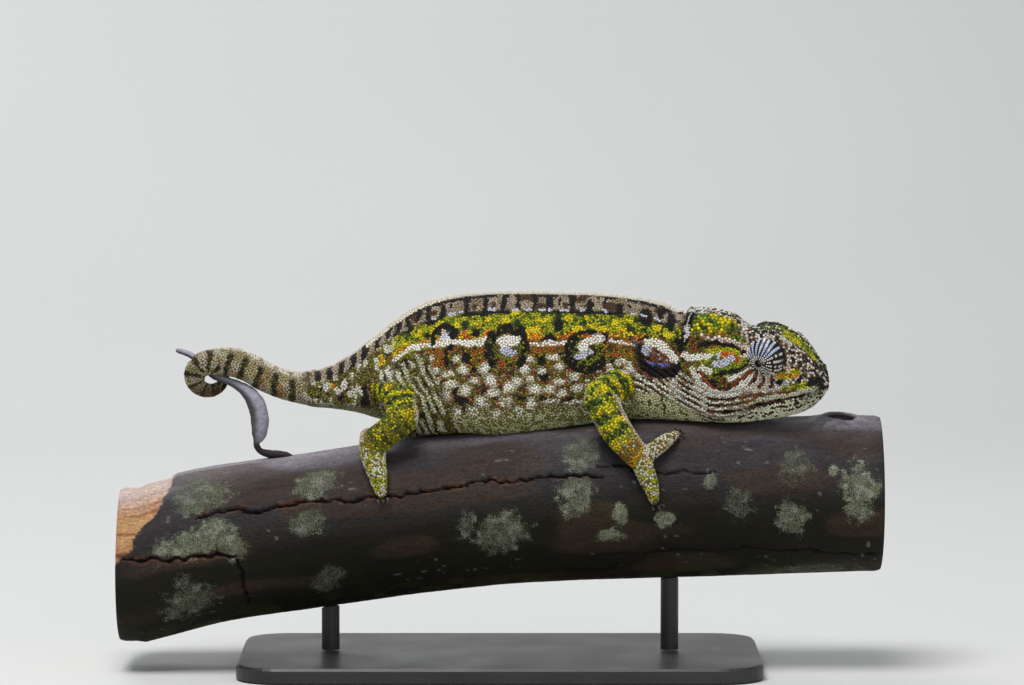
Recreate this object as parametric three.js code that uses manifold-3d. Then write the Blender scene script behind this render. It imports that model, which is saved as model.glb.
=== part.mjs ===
// A carpet chameleon, Furcifer lateralis, lying along a cut length of branch that a display stand holds up.
// Millimetres, +Z up. +X is the way the animal faces, and -Y is its right flank, the one the pose shows.
// The origin is the middle of the stand's underside, below the middle of the branch.
import * as THREE from "three";
import { mergeVertices } from "three/addons/utils/BufferGeometryUtils.js";
import Module from "manifold-3d";

const wasm = await Module();
wasm.setup();

// ---- Driving dimensions ----

const GAP = 0.3; // clearance left between neighbouring pieces
const RAD = Math.PI / 180;

const PERCH = { halfLength: 76, radius: 15.8, rings: 24, sides: 20 };
const STAND = { length: 104, width: 56, thickness: 3.2, corner: 9, rodRadius: 1.8, rodAt: 34 };
const BODY_SIDES = 22;
const LIMB_SIDES = 10;
const TOE_SIDES = 8;
const TAIL_SIDES = 11;

// ---- Colours ----

function finish(color, roughness, metalness = 0) {
  return new THREE.MeshStandardMaterial({ color, roughness, metalness });
}

const SKIN = finish(0x6f7440, 0.75);
const LIMB_SKIN = finish(0x8a8c28, 0.75);
const TOE_SKIN = finish(0xb8a878, 0.75);
const EYE_SKIN = finish(0x9aa4c4, 0.7);
const CLAW = finish(0x8d7f6c, 0.45);
const BARK = finish(0x3d3438, 0.9);
const TWIG = finish(0x77707e, 0.9);
const STAND_PAINT = finish(0x1c1c1e, 0.5, 0.4);

// ---- Curves and lofts ----

// A smooth function through [place, value] knots that never overshoots them.
function profile(...knots) {
  const slopes = knots.slice(1).map(([x, v], i) => (v - knots[i][1]) / (x - knots[i][0]));
  const tangents = knots.map((_, i) => {
    const before = slopes[i - 1];
    const after = slopes[i];
    if (before === undefined || after === undefined) return before ?? after;
    return before * after <= 0 ? 0 : (2 * before * after) / (before + after);
  });
  return (x) => {
    if (x <= knots[0][0]) return knots[0][1];
    const next = knots.findIndex(([place]) => place > x);
    if (next < 0) return knots[knots.length - 1][1];
    const [x0, v0] = knots[next - 1];
    const [x1, v1] = knots[next];
    const width = x1 - x0;
    const t = (x - x0) / width;
    const ease = t * t * (3 - 2 * t);
    return (
      v0 + (v1 - v0) * ease +
      width * t * (1 - t) * ((1 - t) * tangents[next - 1] - t * tangents[next])
    );
  };
}

function smoothstep(low, high, x) {
  const t = Math.min(Math.max((x - low) / (high - low), 0), 1);
  return t * t * (3 - 2 * t);
}

function steps(low, high, count) {
  return Array.from({ length: count + 1 }, (_, i) => low + ((high - low) * i) / count);
}

// A closed skin over rings of equally many points, with a fan over each end ring.
function loft(rings) {
  const sides = rings[0].length;
  const points = rings.flat();
  const middle = (ring) =>
    ring.reduce((sum, p) => sum.add(p), new THREE.Vector3()).divideScalar(sides);
  points.push(middle(rings[0]), middle(rings[rings.length - 1]));
  const [first, last] = [points.length - 2, points.length - 1];
  const faces = [];
  for (let side = 0; side < sides; side++) {
    const next = (side + 1) % sides;
    for (let row = 0; row + 1 < rings.length; row++) {
      const [a, b] = [row * sides + side, row * sides + next];
      faces.push(a, b, b + sides, a, b + sides, a + sides);
    }
    const end = (rings.length - 1) * sides;
    faces.push(first, next, side, last, end + side, end + next);
  }
  const geometry = new THREE.BufferGeometry().setFromPoints(points);
  geometry.setIndex(faces);
  return solid(geometry);
}

// A three.js geometry as a manifold-3d solid that faces outwards.
function solid(geometry) {
  const bare = geometry.index ? geometry.clone() : geometry;
  bare.deleteAttribute("normal");
  bare.deleteAttribute("uv");
  const merged = mergeVertices(bare, 1e-4);
  const build = (triVerts) =>
    new wasm.Manifold(
      new wasm.Mesh({ numProp: 3, vertProperties: merged.attributes.position.array, triVerts }),
    );
  const order = new Uint32Array(merged.index.array);
  const made = build(order);
  return made.volume() >= 0 ? made : build(order.reverse());
}

// The largest body of what is left of a solid after others are cut out of it.
function without(kept, ...cutters) {
  const left = cutters.reduce((rest, cutter) => rest.subtract(cutter), kept);
  return left.decompose().reduce((most, body) => (body.volume() > most.volume() ? body : most));
}

// ---- The branch, its twig and the stand ----

const branchHeight = profile(
  [-72, 20.8], [-55, 25], [-36.5, 27.8], [-16, 30.6], [4, 32.6], [24.5, 33.8], [45, 34.4], [72, 34.8],
);

const KNOT = { x: 67, angle: 12 * RAD, size: 4.2, height: 1.3 };

// The branch's radius at a place along it, and an angle from its top towards -Y.
function branchRadius(x, angle) {
  const lumps =
    0.22 * Math.sin(2 * angle + 0.045 * x + 0.6) + 0.16 * Math.sin(3 * angle - 0.08 * x + 2);
  const knotDistance = Math.hypot(x - KNOT.x, (angle - KNOT.angle) * PERCH.radius) / KNOT.size;
  return PERCH.radius + lumps + KNOT.height * Math.exp(-knotDistance * knotDistance);
}

// A point on the branch's bark, raised by lift. The angle runs from its top towards -Y.
function onBranch(x, angle, lift = 0) {
  const slope = Math.atan((branchHeight(x + 1) - branchHeight(x - 1)) / 2);
  const reach = branchRadius(x, angle) + lift;
  return new THREE.Vector3(
    x,
    -reach * Math.sin(angle),
    branchHeight(x) + (reach * Math.cos(angle)) / Math.cos(slope),
  );
}

function branch(grow = 0) {
  const end = PERCH.halfLength + grow;
  return loft(
    steps(-end, end, PERCH.rings).map((x) =>
      steps(0, 2 * Math.PI, PERCH.sides).slice(1).map((angle) => onBranch(x, angle, grow)),
    ),
  );
}

// A tube of changing radius through stations of [x, y, z, radius].
function tube(stations, rows, sides, grow = 0) {
  const path = new THREE.CatmullRomCurve3(
    stations.map(([x, y, z]) => new THREE.Vector3(x, y, z)), false, "centripetal",
  );
  const radius = profile(...stations.map((station, i) => [i / (stations.length - 1), station[3]]));
  return loft(
    steps(0, 1, rows).map((t) => {
      const centre = path.getPoint(t);
      const along = path.getTangent(t);
      const across = new THREE.Vector3(0, 1, 0).cross(along).normalize();
      const other = along.clone().cross(across);
      return steps(0, 2 * Math.PI, sides).slice(1).map((angle) =>
        centre.clone()
          .addScaledVector(across, (radius(t) + grow) * Math.cos(angle))
          .addScaledVector(other, (radius(t) + grow) * Math.sin(angle)),
      );
    }),
  );
}

const TWIG_STATIONS = [
  [-40.8, -0.9, 41.7, 0.7],
  [-43.4, -1.0, 42.7, 0.95],
  [-45.9, -1.1, 42.9, 1.0],
  [-48.0, -1.2, 43.6, 0.75],
  [-48.7, -1.3, 45.0, 0.75],
  [-48.2, -1.3, 46.8, 1.7],
  [-48.0, -1.2, 49.6, 2.1],
  [-48.6, -1.0, 52.6, 2.1],
  [-50.2, -0.7, 55.0, 1.7],
  [-52.4, -0.2, 56.6, 1.15],
  [-54.8, 0.5, 57.6, 0.85],
  [-57.2, 1.7, 58.3, 0.8],
  [-59.0, 3.4, 59.6, 0.75],
  [-60.6, 4.6, 61.2, 0.75],
  [-62.6, 5.3, 62.5, 0.75],
  [-65.2, 5.8, 63.3, 0.55],
];

function twig(grow = 0) {
  return tube(TWIG_STATIONS, 26, 6, grow);
}

function standBase() {
  const [x, y, r] = [STAND.length / 2, STAND.width / 2, STAND.corner];
  const outline = new THREE.Shape();
  outline.absarc(x - r, y - r, r, 0, 90 * RAD);
  outline.absarc(-x + r, y - r, r, 90 * RAD, 180 * RAD);
  outline.absarc(-x + r, -y + r, r, 180 * RAD, 270 * RAD);
  outline.absarc(x - r, -y + r, r, 270 * RAD, 360 * RAD);
  const bevel = 0.5;
  const plate = new THREE.ExtrudeGeometry(outline, {
    depth: STAND.thickness - 2 * bevel,
    bevelThickness: bevel,
    bevelSize: bevel,
    bevelOffset: -bevel,
    bevelSegments: 1,
    curveSegments: 4,
  });
  return solid(plate.translate(0, 0, bevel));
}

function standRod(x) {
  const top = branchHeight(x);
  const bottom = STAND.thickness + GAP;
  const rod = new THREE.CylinderGeometry(STAND.rodRadius, STAND.rodRadius, top - bottom, 16);
  rod.rotateX(90 * RAD).translate(x, 0, (top + bottom) / 2);
  return without(solid(rod), branch(GAP));
}

// ---- Trunk, neck and tail ----

// The body is a row of ribs from the neck to the tail's coil. Each is [top x, top z, bottom x, bottom z, half width].
const RIBS = [
  [34.6, 72.0, 34.6, 49.4, 5.2],
  [29.4, 73.6, 29.6, 49.3, 5.7],
  [22.6, 74.6, 23.0, 48.7, 6.3],
  [16.4, 75.0, 16.6, 47.6, 7.0],
  [8.2, 75.2, 8.4, 46.8, 7.6],
  [0.0, 75.2, 0.0, 46.2, 8.0],
  [-8.2, 74.5, -8.4, 45.9, 8.0],
  [-14.2, 72.9, -14.4, 46.2, 7.4],
  [-19.4, 70.1, -18.8, 47.7, 6.3],
  [-24.4, 66.2, -22.6, 49.4, 5.3],
  [-28.4, 62.9, -26.6, 50.5, 4.4],
  [-32.0, 60.6, -30.8, 51.4, 3.7],
  [-36.2, 59.1, -35.4, 51.9, 3.25],
  [-40.6, 58.7, -40.6, 52.7, 3.0],
  [-44.6, 59.9, -45.4, 54.0, 2.85],
  [-48.4, 62.0, -50.2, 56.2, 2.8],
  [-52.4, 63.9, -54.0, 58.0, 2.75],
  [-56.2, 64.3, -56.8, 58.5, 2.7],
];

// The tail's coil turns about a line along Y. It starts at its top, and moves away from -Y as it winds.
const COIL = { x: -58.3, z: 58.2, turns: 1.95 };
const coilSide = profile([0, 0], [0.25, 0.9], [0.5, 2.6], [0.75, 4.5], [1, 6.4], [1.5, 8.6], [COIL.turns, 9.6]);
const coilRadius = profile([0, 3.2], [0.25, 3.1], [0.5, 3.05], [1, 3.1], [1.5, 2.7], [COIL.turns, 2.1]);
const coilThickness = profile([0, 2.65], [0.25, 2.25], [0.5, 1.6], [0.75, 1.4], [1, 1.2], [1.5, 0.9], [COIL.turns, 0.5]);

const NECK_BEND = { from: 17, angle: 11 * RAD }; // where the neck starts to turn towards -Y, and how far
const NECK_END = 33.6;
const bendRadius = (NECK_END - NECK_BEND.from) / Math.sin(NECK_BEND.angle);

// How far the body's middle plane has turned, and moved sideways, at a place along X.
function bendAt(x) {
  const turned = Math.asin(Math.min(Math.max((x - NECK_BEND.from) / bendRadius, 0), 1));
  return { yaw: Math.min(turned, NECK_BEND.angle), side: -bendRadius * (1 - Math.cos(turned)) };
}

// One rib as a ring of points. share runs from 0, at its top, through 0.5, at its bottom, to 1.
function bodyRing(top, bottom, halfWidth, sides, keel, grow) {
  const centre = top.clone().add(bottom).multiplyScalar(0.5);
  const up = top.clone().sub(centre);
  const halfDepth = up.length() + grow;
  up.normalize();
  const { yaw } = bendAt(centre.x);
  const lateral = new THREE.Vector3(Math.sin(yaw), Math.cos(yaw), 0);
  return steps(0, 1, sides).slice(1).map((share) => {
    const angle = share * 2 * Math.PI;
    const height = Math.cos(angle);
    const narrowing = 1 - keel * smoothstep(0.45, 1, height) - 0.3 * keel * height;
    const full = 1 + keel * 0.7 * smoothstep(0, -1, height);
    return centre.clone()
      .addScaledVector(up, halfDepth * height)
      .addScaledVector(lateral, (halfWidth * narrowing + grow) * full * Math.sin(angle));
  });
}

// The body's ribs between two places, counted in ribs from the neck.
const ribCurves = [0, 1, 2, 3, 4].map((column) => {
  const knots = RIBS.map((rib, i) => new THREE.Vector2(i, rib[column]));
  return new THREE.SplineCurve(knots);
});

function ribAt(place) {
  const t = place / (RIBS.length - 1);
  const [topX, topZ, bottomX, bottomZ, halfWidth] = ribCurves.map((curve) => curve.getPoint(t).y);
  const side = bendAt((topX + bottomX) / 2).side;
  return {
    top: new THREE.Vector3(topX, side, topZ),
    bottom: new THREE.Vector3(bottomX, side, bottomZ),
    halfWidth,
  };
}

const keelAt = profile([0, 0.42], [8, 0.48], [11, 0.3], [14, 0.12]);

function bodyPart(from, to, rows, grow = 0) {
  const [sides, low, high] = [from >= 12 ? TAIL_SIDES : BODY_SIDES, from - grow / 6, to + grow / 6];
  return loft(
    steps(Math.max(low, 0), Math.min(high, RIBS.length - 1), rows).map((place) => {
      const { top, bottom, halfWidth } = ribAt(place);
      return bodyRing(top, bottom, halfWidth, sides, keelAt(place), grow);
    }),
  );
}

// The coil, between two counts of turns. Its first quarter turn leads in from the last rib.
function coilPart(from, to, rows, grow = 0) {
  const point = (turn) => {
    if (turn >= 0) {
      const angle = (0.25 + turn) * 2 * Math.PI;
      return new THREE.Vector3(
        COIL.x + coilRadius(turn) * Math.cos(angle),
        coilSide(turn),
        COIL.z + coilRadius(turn) * Math.sin(angle),
      );
    }
    const lastRib = ribAt(RIBS.length - 1);
    const start = lastRib.top.clone().add(lastRib.bottom).multiplyScalar(0.5);
    const entry = point(0);
    const leadIn = new THREE.CubicBezierCurve3(
      start, start.clone().add(new THREE.Vector3(-0.5, 0, 0.05)),
      entry.clone().add(new THREE.Vector3(0.5, 0, 0)), entry,
    );
    return leadIn.getPoint(1 + turn / LEAD_IN);
  };
  return loft(
    steps(from, to, rows).map((turn) => {
      const centre = point(turn);
      const along = point(turn + 0.01).sub(point(turn - 0.01)).normalize();
      const lateral = new THREE.Vector3(0, 1, 0).addScaledVector(along, -along.y).normalize();
      const dorsal = lateral.clone().cross(along);
      const depth = (turn < 0 ? 2.65 + 0.25 * smoothstep(0, LEAD_IN, -turn) : coilThickness(turn)) + grow;
      return steps(0, 2 * Math.PI, TAIL_SIDES).slice(1).map((angle) =>
        centre.clone()
          .addScaledVector(dorsal, depth * Math.cos(angle))
          .addScaledVector(lateral, 0.9 * depth * Math.sin(angle)),
      );
    }),
  );
}
const LEAD_IN = 0.09; // the share of a turn that the lead-in counts as

// ---- Head ----

// The head has its own frame: along runs from the nape to the snout, side to its left and z up.
const HEAD = { x: 34.9, yaw: 11 * RAD, roll: 7 * RAD, rollHeight: 58, length: 31.1, rows: 22 };

function fromHead(along, side, z) {
  const base = bendAt(NECK_END);
  return new THREE.Vector3(along, side, z - HEAD.rollHeight)
    .applyAxisAngle(new THREE.Vector3(1, 0, 0), HEAD.roll)
    .applyAxisAngle(new THREE.Vector3(0, 0, 1), -HEAD.yaw)
    .add(new THREE.Vector3(HEAD.x, base.side - 0.3, HEAD.rollHeight));
}

// Heights and half widths of the head's lines, each along the head.
const crown = profile(
  [0, 69.8], [1.5, 70.8], [5, 72.7], [8, 72.7], [11, 71.8], [14.5, 69.4],
  [18, 68.8], [21, 68.0], [24.5, 65.9], [27.5, 63.4], [29.4, 61.2], [30.5, 59.9], [31.1, 58.6],
);
const ridge = profile(
  [0, 69.0], [1.5, 69.8], [3.7, 71.0], [5.3, 72.0], [7.7, 72.3], [10.6, 71.6], [12.6, 70.5], [14.8, 69.0],
  [15.8, 68.6], [17, 69.0], [19.5, 69.3], [21.5, 68.4], [24.5, 66.2], [26.9, 64.3], [29, 61.8], [30.4, 60], [31.1, 58.8],
);
const ridgeSide = profile(
  [0, 2.7], [5, 3.1], [10, 3.2], [14, 3.5], [17, 4.4], [19, 4.7], [22, 4.6], [25, 4.1], [28, 3.3], [29.8, 2.5], [30.7, 1.7], [31.1, 0.7],
);
const templeSide = profile(
  [0, 4.2], [6, 4.5], [12, 4.4], [16, 4.1], [20, 4.2], [24, 4.3], [27.5, 3.8], [29.6, 2.9], [30.7, 1.9], [31.1, 0.9],
);
const cheekSide = profile(
  [0, 5.2], [5, 6.1], [10, 6.4], [14, 6.0], [18, 5.4], [22, 5.1], [25, 4.8], [28, 4.0], [29.8, 3.0], [30.7, 2.0], [31.1, 1.0],
);
const cheek = profile([0, 60.5], [6, 60], [11, 59], [15, 58.2], [20, 57.8], [25, 58], [31.1, 57.8]);
const lipSide = profile(
  [0, 5.2], [5, 5.8], [10, 6.2], [14, 6.0], [18, 5.6], [22, 5.2], [25, 4.8], [28, 3.9], [29.8, 2.8], [30.7, 1.8], [31.1, 0.9],
);
const lip = profile([0, 54.4], [6, 53.9], [11, 53.5], [15, 53.5], [18.5, 54.3], [22, 55], [25, 55.5], [30, 56], [31.1, 57.1]);
const throatSide = profile([0, 3.8], [10, 4.2], [18, 3.8], [24, 3.1], [28, 2.2], [30.4, 1.3], [31.1, 0.7]);
const throat = profile(
  [0, 49.4], [6, 49.2], [12, 49.3], [17, 49.8], [21, 50.4], [24.5, 51.1], [27, 52.1], [29, 53.7], [30.3, 55.2], [31.1, 56.7],
);

// One half of a section of the head, from the crown to the throat, as [side, height] pairs.
function headOutline(along) {
  const [top, edge, under, bottom] = [crown(along), ridge(along), lip(along), throat(along)];
  const brow = edge + 0.25 * (cheek(along) - edge);
  return [
    [0, top],
    [0.55 * ridgeSide(along), 0.5 * (top + edge) - 0.25],
    [ridgeSide(along), edge],
    [templeSide(along), brow],
    [0.5 * (templeSide(along) + cheekSide(along)) + 0.15, 0.5 * (brow + cheek(along))],
    [cheekSide(along), cheek(along)],
    [lipSide(along) + 0.1, under + 0.5 * (cheek(along) - under)],
    [lipSide(along) - 0.2, under],
    [0.5 * (lipSide(along) + throatSide(along)), under - 0.55 * (under - bottom)],
    [throatSide(along), bottom + 0.18 * (under - bottom)],
    [0, bottom],
  ];
}

function head(grow = 0) {
  const rings = steps(-grow, HEAD.length + grow, HEAD.rows).map((along) => {
    const half = headOutline(Math.min(Math.max(along, 0), HEAD.length));
    const right = half.slice(1, -1).map(([side, z]) => [-side, z]);
    const middle = (half[0][1] + half[half.length - 1][1]) / 2;
    return [...half, ...right.reverse()].map(([side, z]) =>
      fromHead(along, side + grow * Math.sign(side), z + grow * Math.sign(z - middle)),
    );
  });
  return loft(rings);
}

// The eye's turret, a dome that stands out of the side of the head.
const EYE = { along: 19.2, side: 3.5, z: 63.7, radius: 4.25, reach: 3.8, inner: 2.2 };

function eye(side, grow = 0) {
  const ball = new THREE.SphereGeometry(1, 14, 10);
  ball.scale(EYE.radius + grow, EYE.reach + grow, EYE.radius + grow);
  const points = ball.attributes.position;
  for (let i = 0; i < points.count; i++) {
    const outward = Math.max(side * points.getY(i), EYE.inner - EYE.side);
    const p = fromHead(
      EYE.along + points.getX(i), side * (EYE.side + outward), EYE.z + points.getZ(i),
    );
    points.setXYZ(i, p.x, p.y, p.z);
  }
  return solid(ball);
}

// ---- Limbs ----

// A limb is a run of joints, each [x, y, z, half breadth, half thickness]. side is 1 for the left, and -1 for the right.
// A foot's joints follow the bark, as [place along X, degrees from the branch's top, lift, half breadth, half thickness].
const LIMBS = {
  front_right: {
    side: -1,
    joints: [[24.6, 4.2, 57.2, 2.6, 2.6], [22.6, 8.8, 56.8, 3.3, 2.8], [19.5, 12.2, 55.4, 3.6, 3.0], [22.8, 14.2, 49.2, 3.5, 2.7], [27.0, 15.4, 43.8, 2.8, 2.3]],
    names: ["upper_arm", "forearm"],
    inner: { toes: 3, path: [[27.0, 58, 2.4, 2.3, 2.0], [29.6, 54, 1.9, 2.0, 1.7], [32.4, 45.5, 1.6, 1.9, 1.5], [34.9, 37, 1.1, 1.3, 1.0]] },
    outer: { toes: 2, path: [[27.0, 56, 2.4, 2.5, 2.0], [28.5, 66, 1.9, 2.3, 1.8], [29.7, 76.5, 1.6, 2.0, 1.5], [30.5, 87, 1.1, 1.2, 1.0]] },
  },
  front_left: {
    side: 1,
    joints: [[24.0, 4.2, 57.0, 2.6, 2.6], [21.6, 8.0, 56.6, 3.3, 2.8], [18.0, 11.4, 55.0, 3.7, 3.0], [20.4, 14.0, 49.6, 3.4, 2.7], [23.4, 15.6, 44.4, 2.6, 2.3]],
    names: ["upper_arm", "forearm"],
    inner: { toes: 3, path: [[23.2, 57, 2.4, 2.3, 2.0], [25.8, 55, 1.9, 2.1, 1.7], [28.8, 48, 1.6, 2.0, 1.5], [31.6, 42, 1.1, 1.3, 1.0]] },
    outer: { toes: 2, path: [[23.0, 56, 2.4, 2.5, 2.0], [24.4, 68, 1.9, 2.4, 1.8], [25.4, 79, 1.6, 2.1, 1.5], [26.0, 90, 1.1, 1.3, 1.0]] },
  },
  hind_right: {
    side: -1,
    joints: [[-23.4, 3.0, 57.6, 3.0, 3.0], [-20.8, 7.8, 55.8, 3.2, 3.0], [-18.6, 11.0, 51.2, 3.1, 2.9], [-21.8, 11.4, 48.5, 3.2, 2.6], [-25.3, 10.4, 46.2, 2.9, 2.4]],
    names: ["thigh", "shin"],
    inner: { toes: 2, path: [[-25.8, 26, 2.6, 2.3, 2.0], [-26.2, 12, 2.0, 2.1, 1.8], [-26.2, -2, 1.6, 1.8, 1.5], [-25.8, -14, 1.1, 1.2, 1.0]] },
    outer: { toes: 3, path: [[-25.6, 25, 2.6, 2.6, 2.1], [-25.2, 38, 2.0, 2.8, 1.9], [-24.1, 55, 1.6, 2.3, 1.6], [-23.3, 68, 1.1, 1.4, 1.0]] },
  },
  hind_left: {
    side: 1,
    joints: [[-24.6, 3.0, 57.4, 3.2, 3.0], [-20.4, 7.6, 56.2, 3.6, 3.2], [-15.2, 10.6, 54.2, 3.5, 3.1], [-16.4, 12.0, 49.6, 3.1, 2.7], [-18.6, 12.4, 45.6, 2.9, 2.5]],
    names: ["thigh", "shin"],
    inner: { toes: 2, path: [[-18.6, 40, 2.6, 2.4, 2.0], [-16.2, 38, 2.0, 2.2, 1.8], [-13.4, 39, 1.6, 2.0, 1.5], [-11.0, 42, 1.1, 1.3, 1.0]] },
    outer: { toes: 3, path: [[-18.8, 39, 2.6, 2.7, 2.1], [-18.4, 53, 2.0, 2.9, 1.9], [-17.2, 68, 1.6, 2.5, 1.6], [-15.8, 84, 1.1, 1.5, 1.0]] },
  },
};

// A limb of oval sections, each [centre, outward direction, half breadth, half thickness], with a rounded end.
function ovals(sections, rows, sides, grow = 0) {
  const path = new THREE.CatmullRomCurve3(sections.map(([centre]) => centre), false, "centripetal");
  const knots = (pick) => profile(...sections.map((s, i) => [i / (sections.length - 1), pick(s)]));
  const outward = ["x", "y", "z"].map((axis) => knots((s) => s[1][axis]));
  const [breadth, thickness] = [knots((s) => s[2]), knots((s) => s[3])];
  const ring = (t, beyond, share) => {
    const along = path.getTangent(t);
    const centre = path.getPoint(t).addScaledVector(along, beyond);
    const out = new THREE.Vector3(...outward.map((axis) => axis(t)));
    out.addScaledVector(along, -out.dot(along)).normalize();
    const across = along.clone().cross(out);
    return steps(0, 2 * Math.PI, sides).slice(1).map((angle) =>
      centre.clone()
        .addScaledVector(out, share * (thickness(t) + grow) * Math.cos(angle))
        .addScaledVector(across, share * (breadth(t) + grow) * Math.sin(angle)),
    );
  };
  const body = steps(0, 1, rows).map((t) => ring(t, t > 0 ? 0 : -grow, 1));
  const tip = [40, 75].map((angle) =>
    ring(1, (thickness(1) + grow) * Math.sin(angle * RAD), Math.cos(angle * RAD)),
  );
  return loft([...body, ...tip]);
}

function legSections(side, joints) {
  return joints.map(([x, y, z, breadth, thickness]) => [
    new THREE.Vector3(x, side * y, z), new THREE.Vector3(0, side, 0.35), breadth, thickness,
  ]);
}

function footSections(side, path) {
  return path.map(([x, degrees, lift, breadth, thickness]) => {
    const angle = -side * degrees * RAD;
    const centre = onBranch(x, angle, lift);
    return [centre, centre.clone().sub(new THREE.Vector3(x, 0, branchHeight(x))), breadth, thickness];
  });
}

// The claws at the end of a bundle of toes, side by side, each bent down to the bark.
function claws(side, { toes, path }) {
  const [x, degrees, lift, breadth] = path[path.length - 1];
  const sections = footSections(side, path);
  const tip = sections[sections.length - 1][0];
  const along = tip.clone().sub(sections[sections.length - 2][0]).normalize();
  const out = onBranch(x, -side * degrees * RAD, lift + 1).sub(tip).normalize();
  const across = along.clone().cross(out);
  return Array.from({ length: toes }, (_, i) => {
    const offset = (i - (toes - 1) / 2) * ((1.5 * breadth) / toes) * 1.25;
    const base = tip.clone().addScaledVector(across, offset).addScaledVector(along, -0.5);
    const shape = [[0, 0.1, 0.5], [0.9, 0.15, 0.45], [1.7, -0.15, 0.3], [2.2, -0.6, 0.22]];
    return ovals(
      shape.map(([ahead, raised, radius]) => [
        base.clone().addScaledVector(along, ahead).addScaledVector(out, raised), out, radius, radius,
      ]),
      3, 5,
    );
  });
}

// ---- Putting it together ----

const group = new THREE.Group();

function add(name, material, made) {
  const { vertProperties, triVerts } = made.getMesh();
  const geometry = new THREE.BufferGeometry();
  geometry.setAttribute("position", new THREE.BufferAttribute(new Float32Array(vertProperties), 3));
  geometry.setIndex(new THREE.BufferAttribute(new Uint32Array(triVerts), 1));
  geometry.computeVertexNormals();
  const mesh = new THREE.Mesh(geometry, material);
  mesh.name = name;
  group.add(mesh);
}

const bark = branch(GAP);
const twigRoom = twig(GAP);

add("perch_branch", BARK, branch());
add("perch_twig", TWIG, without(twig(), bark));
add("stand_base", STAND_PAINT, standBase());
add("stand_rod_rear", STAND_PAINT, standRod(-STAND.rodAt));
add("stand_rod_front", STAND_PAINT, standRod(STAND.rodAt));

// The ribs, counted from the neck, where the body is parted.
const HALF_GAP_IN_RIBS = 0.025;
const NECK_TO_TRUNK = 1.9;
const TRUNK_TO_TAIL = 9.6;
const TAIL_PARTS = [TRUNK_TO_TAIL, 12.4, 14.8, RIBS.length - 1];

const neck = bodyPart(0.02, NECK_TO_TRUNK - HALF_GAP_IN_RIBS, 5);
const trunk = bodyPart(NECK_TO_TRUNK + HALF_GAP_IN_RIBS, TRUNK_TO_TAIL - HALF_GAP_IN_RIBS, 20);
const eyeRooms = [eye(-1, GAP), eye(1, GAP)];
const neckRoom = bodyPart(0, NECK_TO_TRUNK, 6, GAP);
add("trunk", SKIN, without(trunk, bark));
add("neck", SKIN, without(neck, bark));
add("head", SKIN, without(head(), bark, neckRoom, ...eyeRooms));
add("eye_right", EYE_SKIN, eye(-1));
add("eye_left", EYE_SKIN, eye(1));

TAIL_PARTS.slice(1).forEach((end, i) => {
  const part = bodyPart(TAIL_PARTS[i] + HALF_GAP_IN_RIBS, end - HALF_GAP_IN_RIBS, i ? 5 : 7);
  add(`tail_${i + 1}`, SKIN, without(part, twigRoom));
});
const COIL_PARTS = [-LEAD_IN, 0.12, 0.5, 0.95, COIL.turns];
COIL_PARTS.slice(1).forEach((end, i) => {
  const part = coilPart(COIL_PARTS[i] + 0.012, end - 0.012, [6, 7, 8, 16][i]);
  add(`tail_${TAIL_PARTS.length + i}`, SKIN, without(part, twigRoom));
});

const bodyRoom = bodyPart(0, 12.4, 24, GAP);
for (const [limbName, limb] of Object.entries(LIMBS)) {
  const [upper, lower] = limb.names;
  const upperSections = legSections(limb.side, limb.joints.slice(0, 3));
  const lowerSections = legSections(limb.side, limb.joints.slice(2));
  const upperRoom = ovals(upperSections, 5, LIMB_SIDES, GAP);
  const lowerRoom = ovals(lowerSections, 5, LIMB_SIDES, GAP);
  add(`${limbName}_${upper}`, LIMB_SKIN, without(ovals(upperSections, 5, LIMB_SIDES), bodyRoom, bark));
  add(
    `${limbName}_${lower}`, LIMB_SKIN,
    without(ovals(lowerSections, 5, LIMB_SIDES), upperRoom, bodyRoom, bark),
  );
  const rooms = [];
  for (const bundle of ["outer", "inner"]) {
    const foot = footSections(limb.side, limb[bundle].path);
    const toesRoom = ovals(foot, 6, TOE_SIDES, GAP);
    add(
      `${limbName}_${bundle}_toes`, TOE_SKIN,
      without(ovals(foot, 6, TOE_SIDES), lowerRoom, bark, ...rooms),
    );
    claws(limb.side, limb[bundle]).forEach((claw, i) =>
      add(`${limbName}_${bundle}_claw_${i + 1}`, CLAW, without(claw, toesRoom, bark)),
    );
    rooms.push(toesRoom);
  }
}

export default group;
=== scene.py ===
"""A life-size museum model of a carpet chameleon on a cut length of branch. Lengths are in millimetres
until a mesh is made, and then in metres. +X is the way the animal faces, -Y its right flank, +Z up."""

import math

import bpy
import numpy as np
import openvdb as vdb
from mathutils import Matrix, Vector
from mathutils.bvhtree import BVHTree
from mathutils.kdtree import KDTree


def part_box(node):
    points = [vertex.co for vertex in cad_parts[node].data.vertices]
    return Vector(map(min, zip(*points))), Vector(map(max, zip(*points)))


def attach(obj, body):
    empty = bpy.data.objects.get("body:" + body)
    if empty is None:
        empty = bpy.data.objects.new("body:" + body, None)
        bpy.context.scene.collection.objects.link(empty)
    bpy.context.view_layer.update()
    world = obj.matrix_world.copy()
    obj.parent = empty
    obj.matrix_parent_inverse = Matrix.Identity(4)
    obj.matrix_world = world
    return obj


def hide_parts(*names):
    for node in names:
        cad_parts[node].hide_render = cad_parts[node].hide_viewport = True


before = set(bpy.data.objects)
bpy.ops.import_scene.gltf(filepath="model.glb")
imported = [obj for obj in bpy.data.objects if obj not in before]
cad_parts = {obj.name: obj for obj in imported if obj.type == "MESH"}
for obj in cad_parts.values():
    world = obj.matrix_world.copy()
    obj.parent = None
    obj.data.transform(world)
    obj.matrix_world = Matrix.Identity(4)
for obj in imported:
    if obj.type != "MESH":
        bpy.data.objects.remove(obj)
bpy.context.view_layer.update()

MM = 0.001
RAD = math.pi / 180
rng = np.random.default_rng(7)


# ---- Small helpers ----


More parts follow.
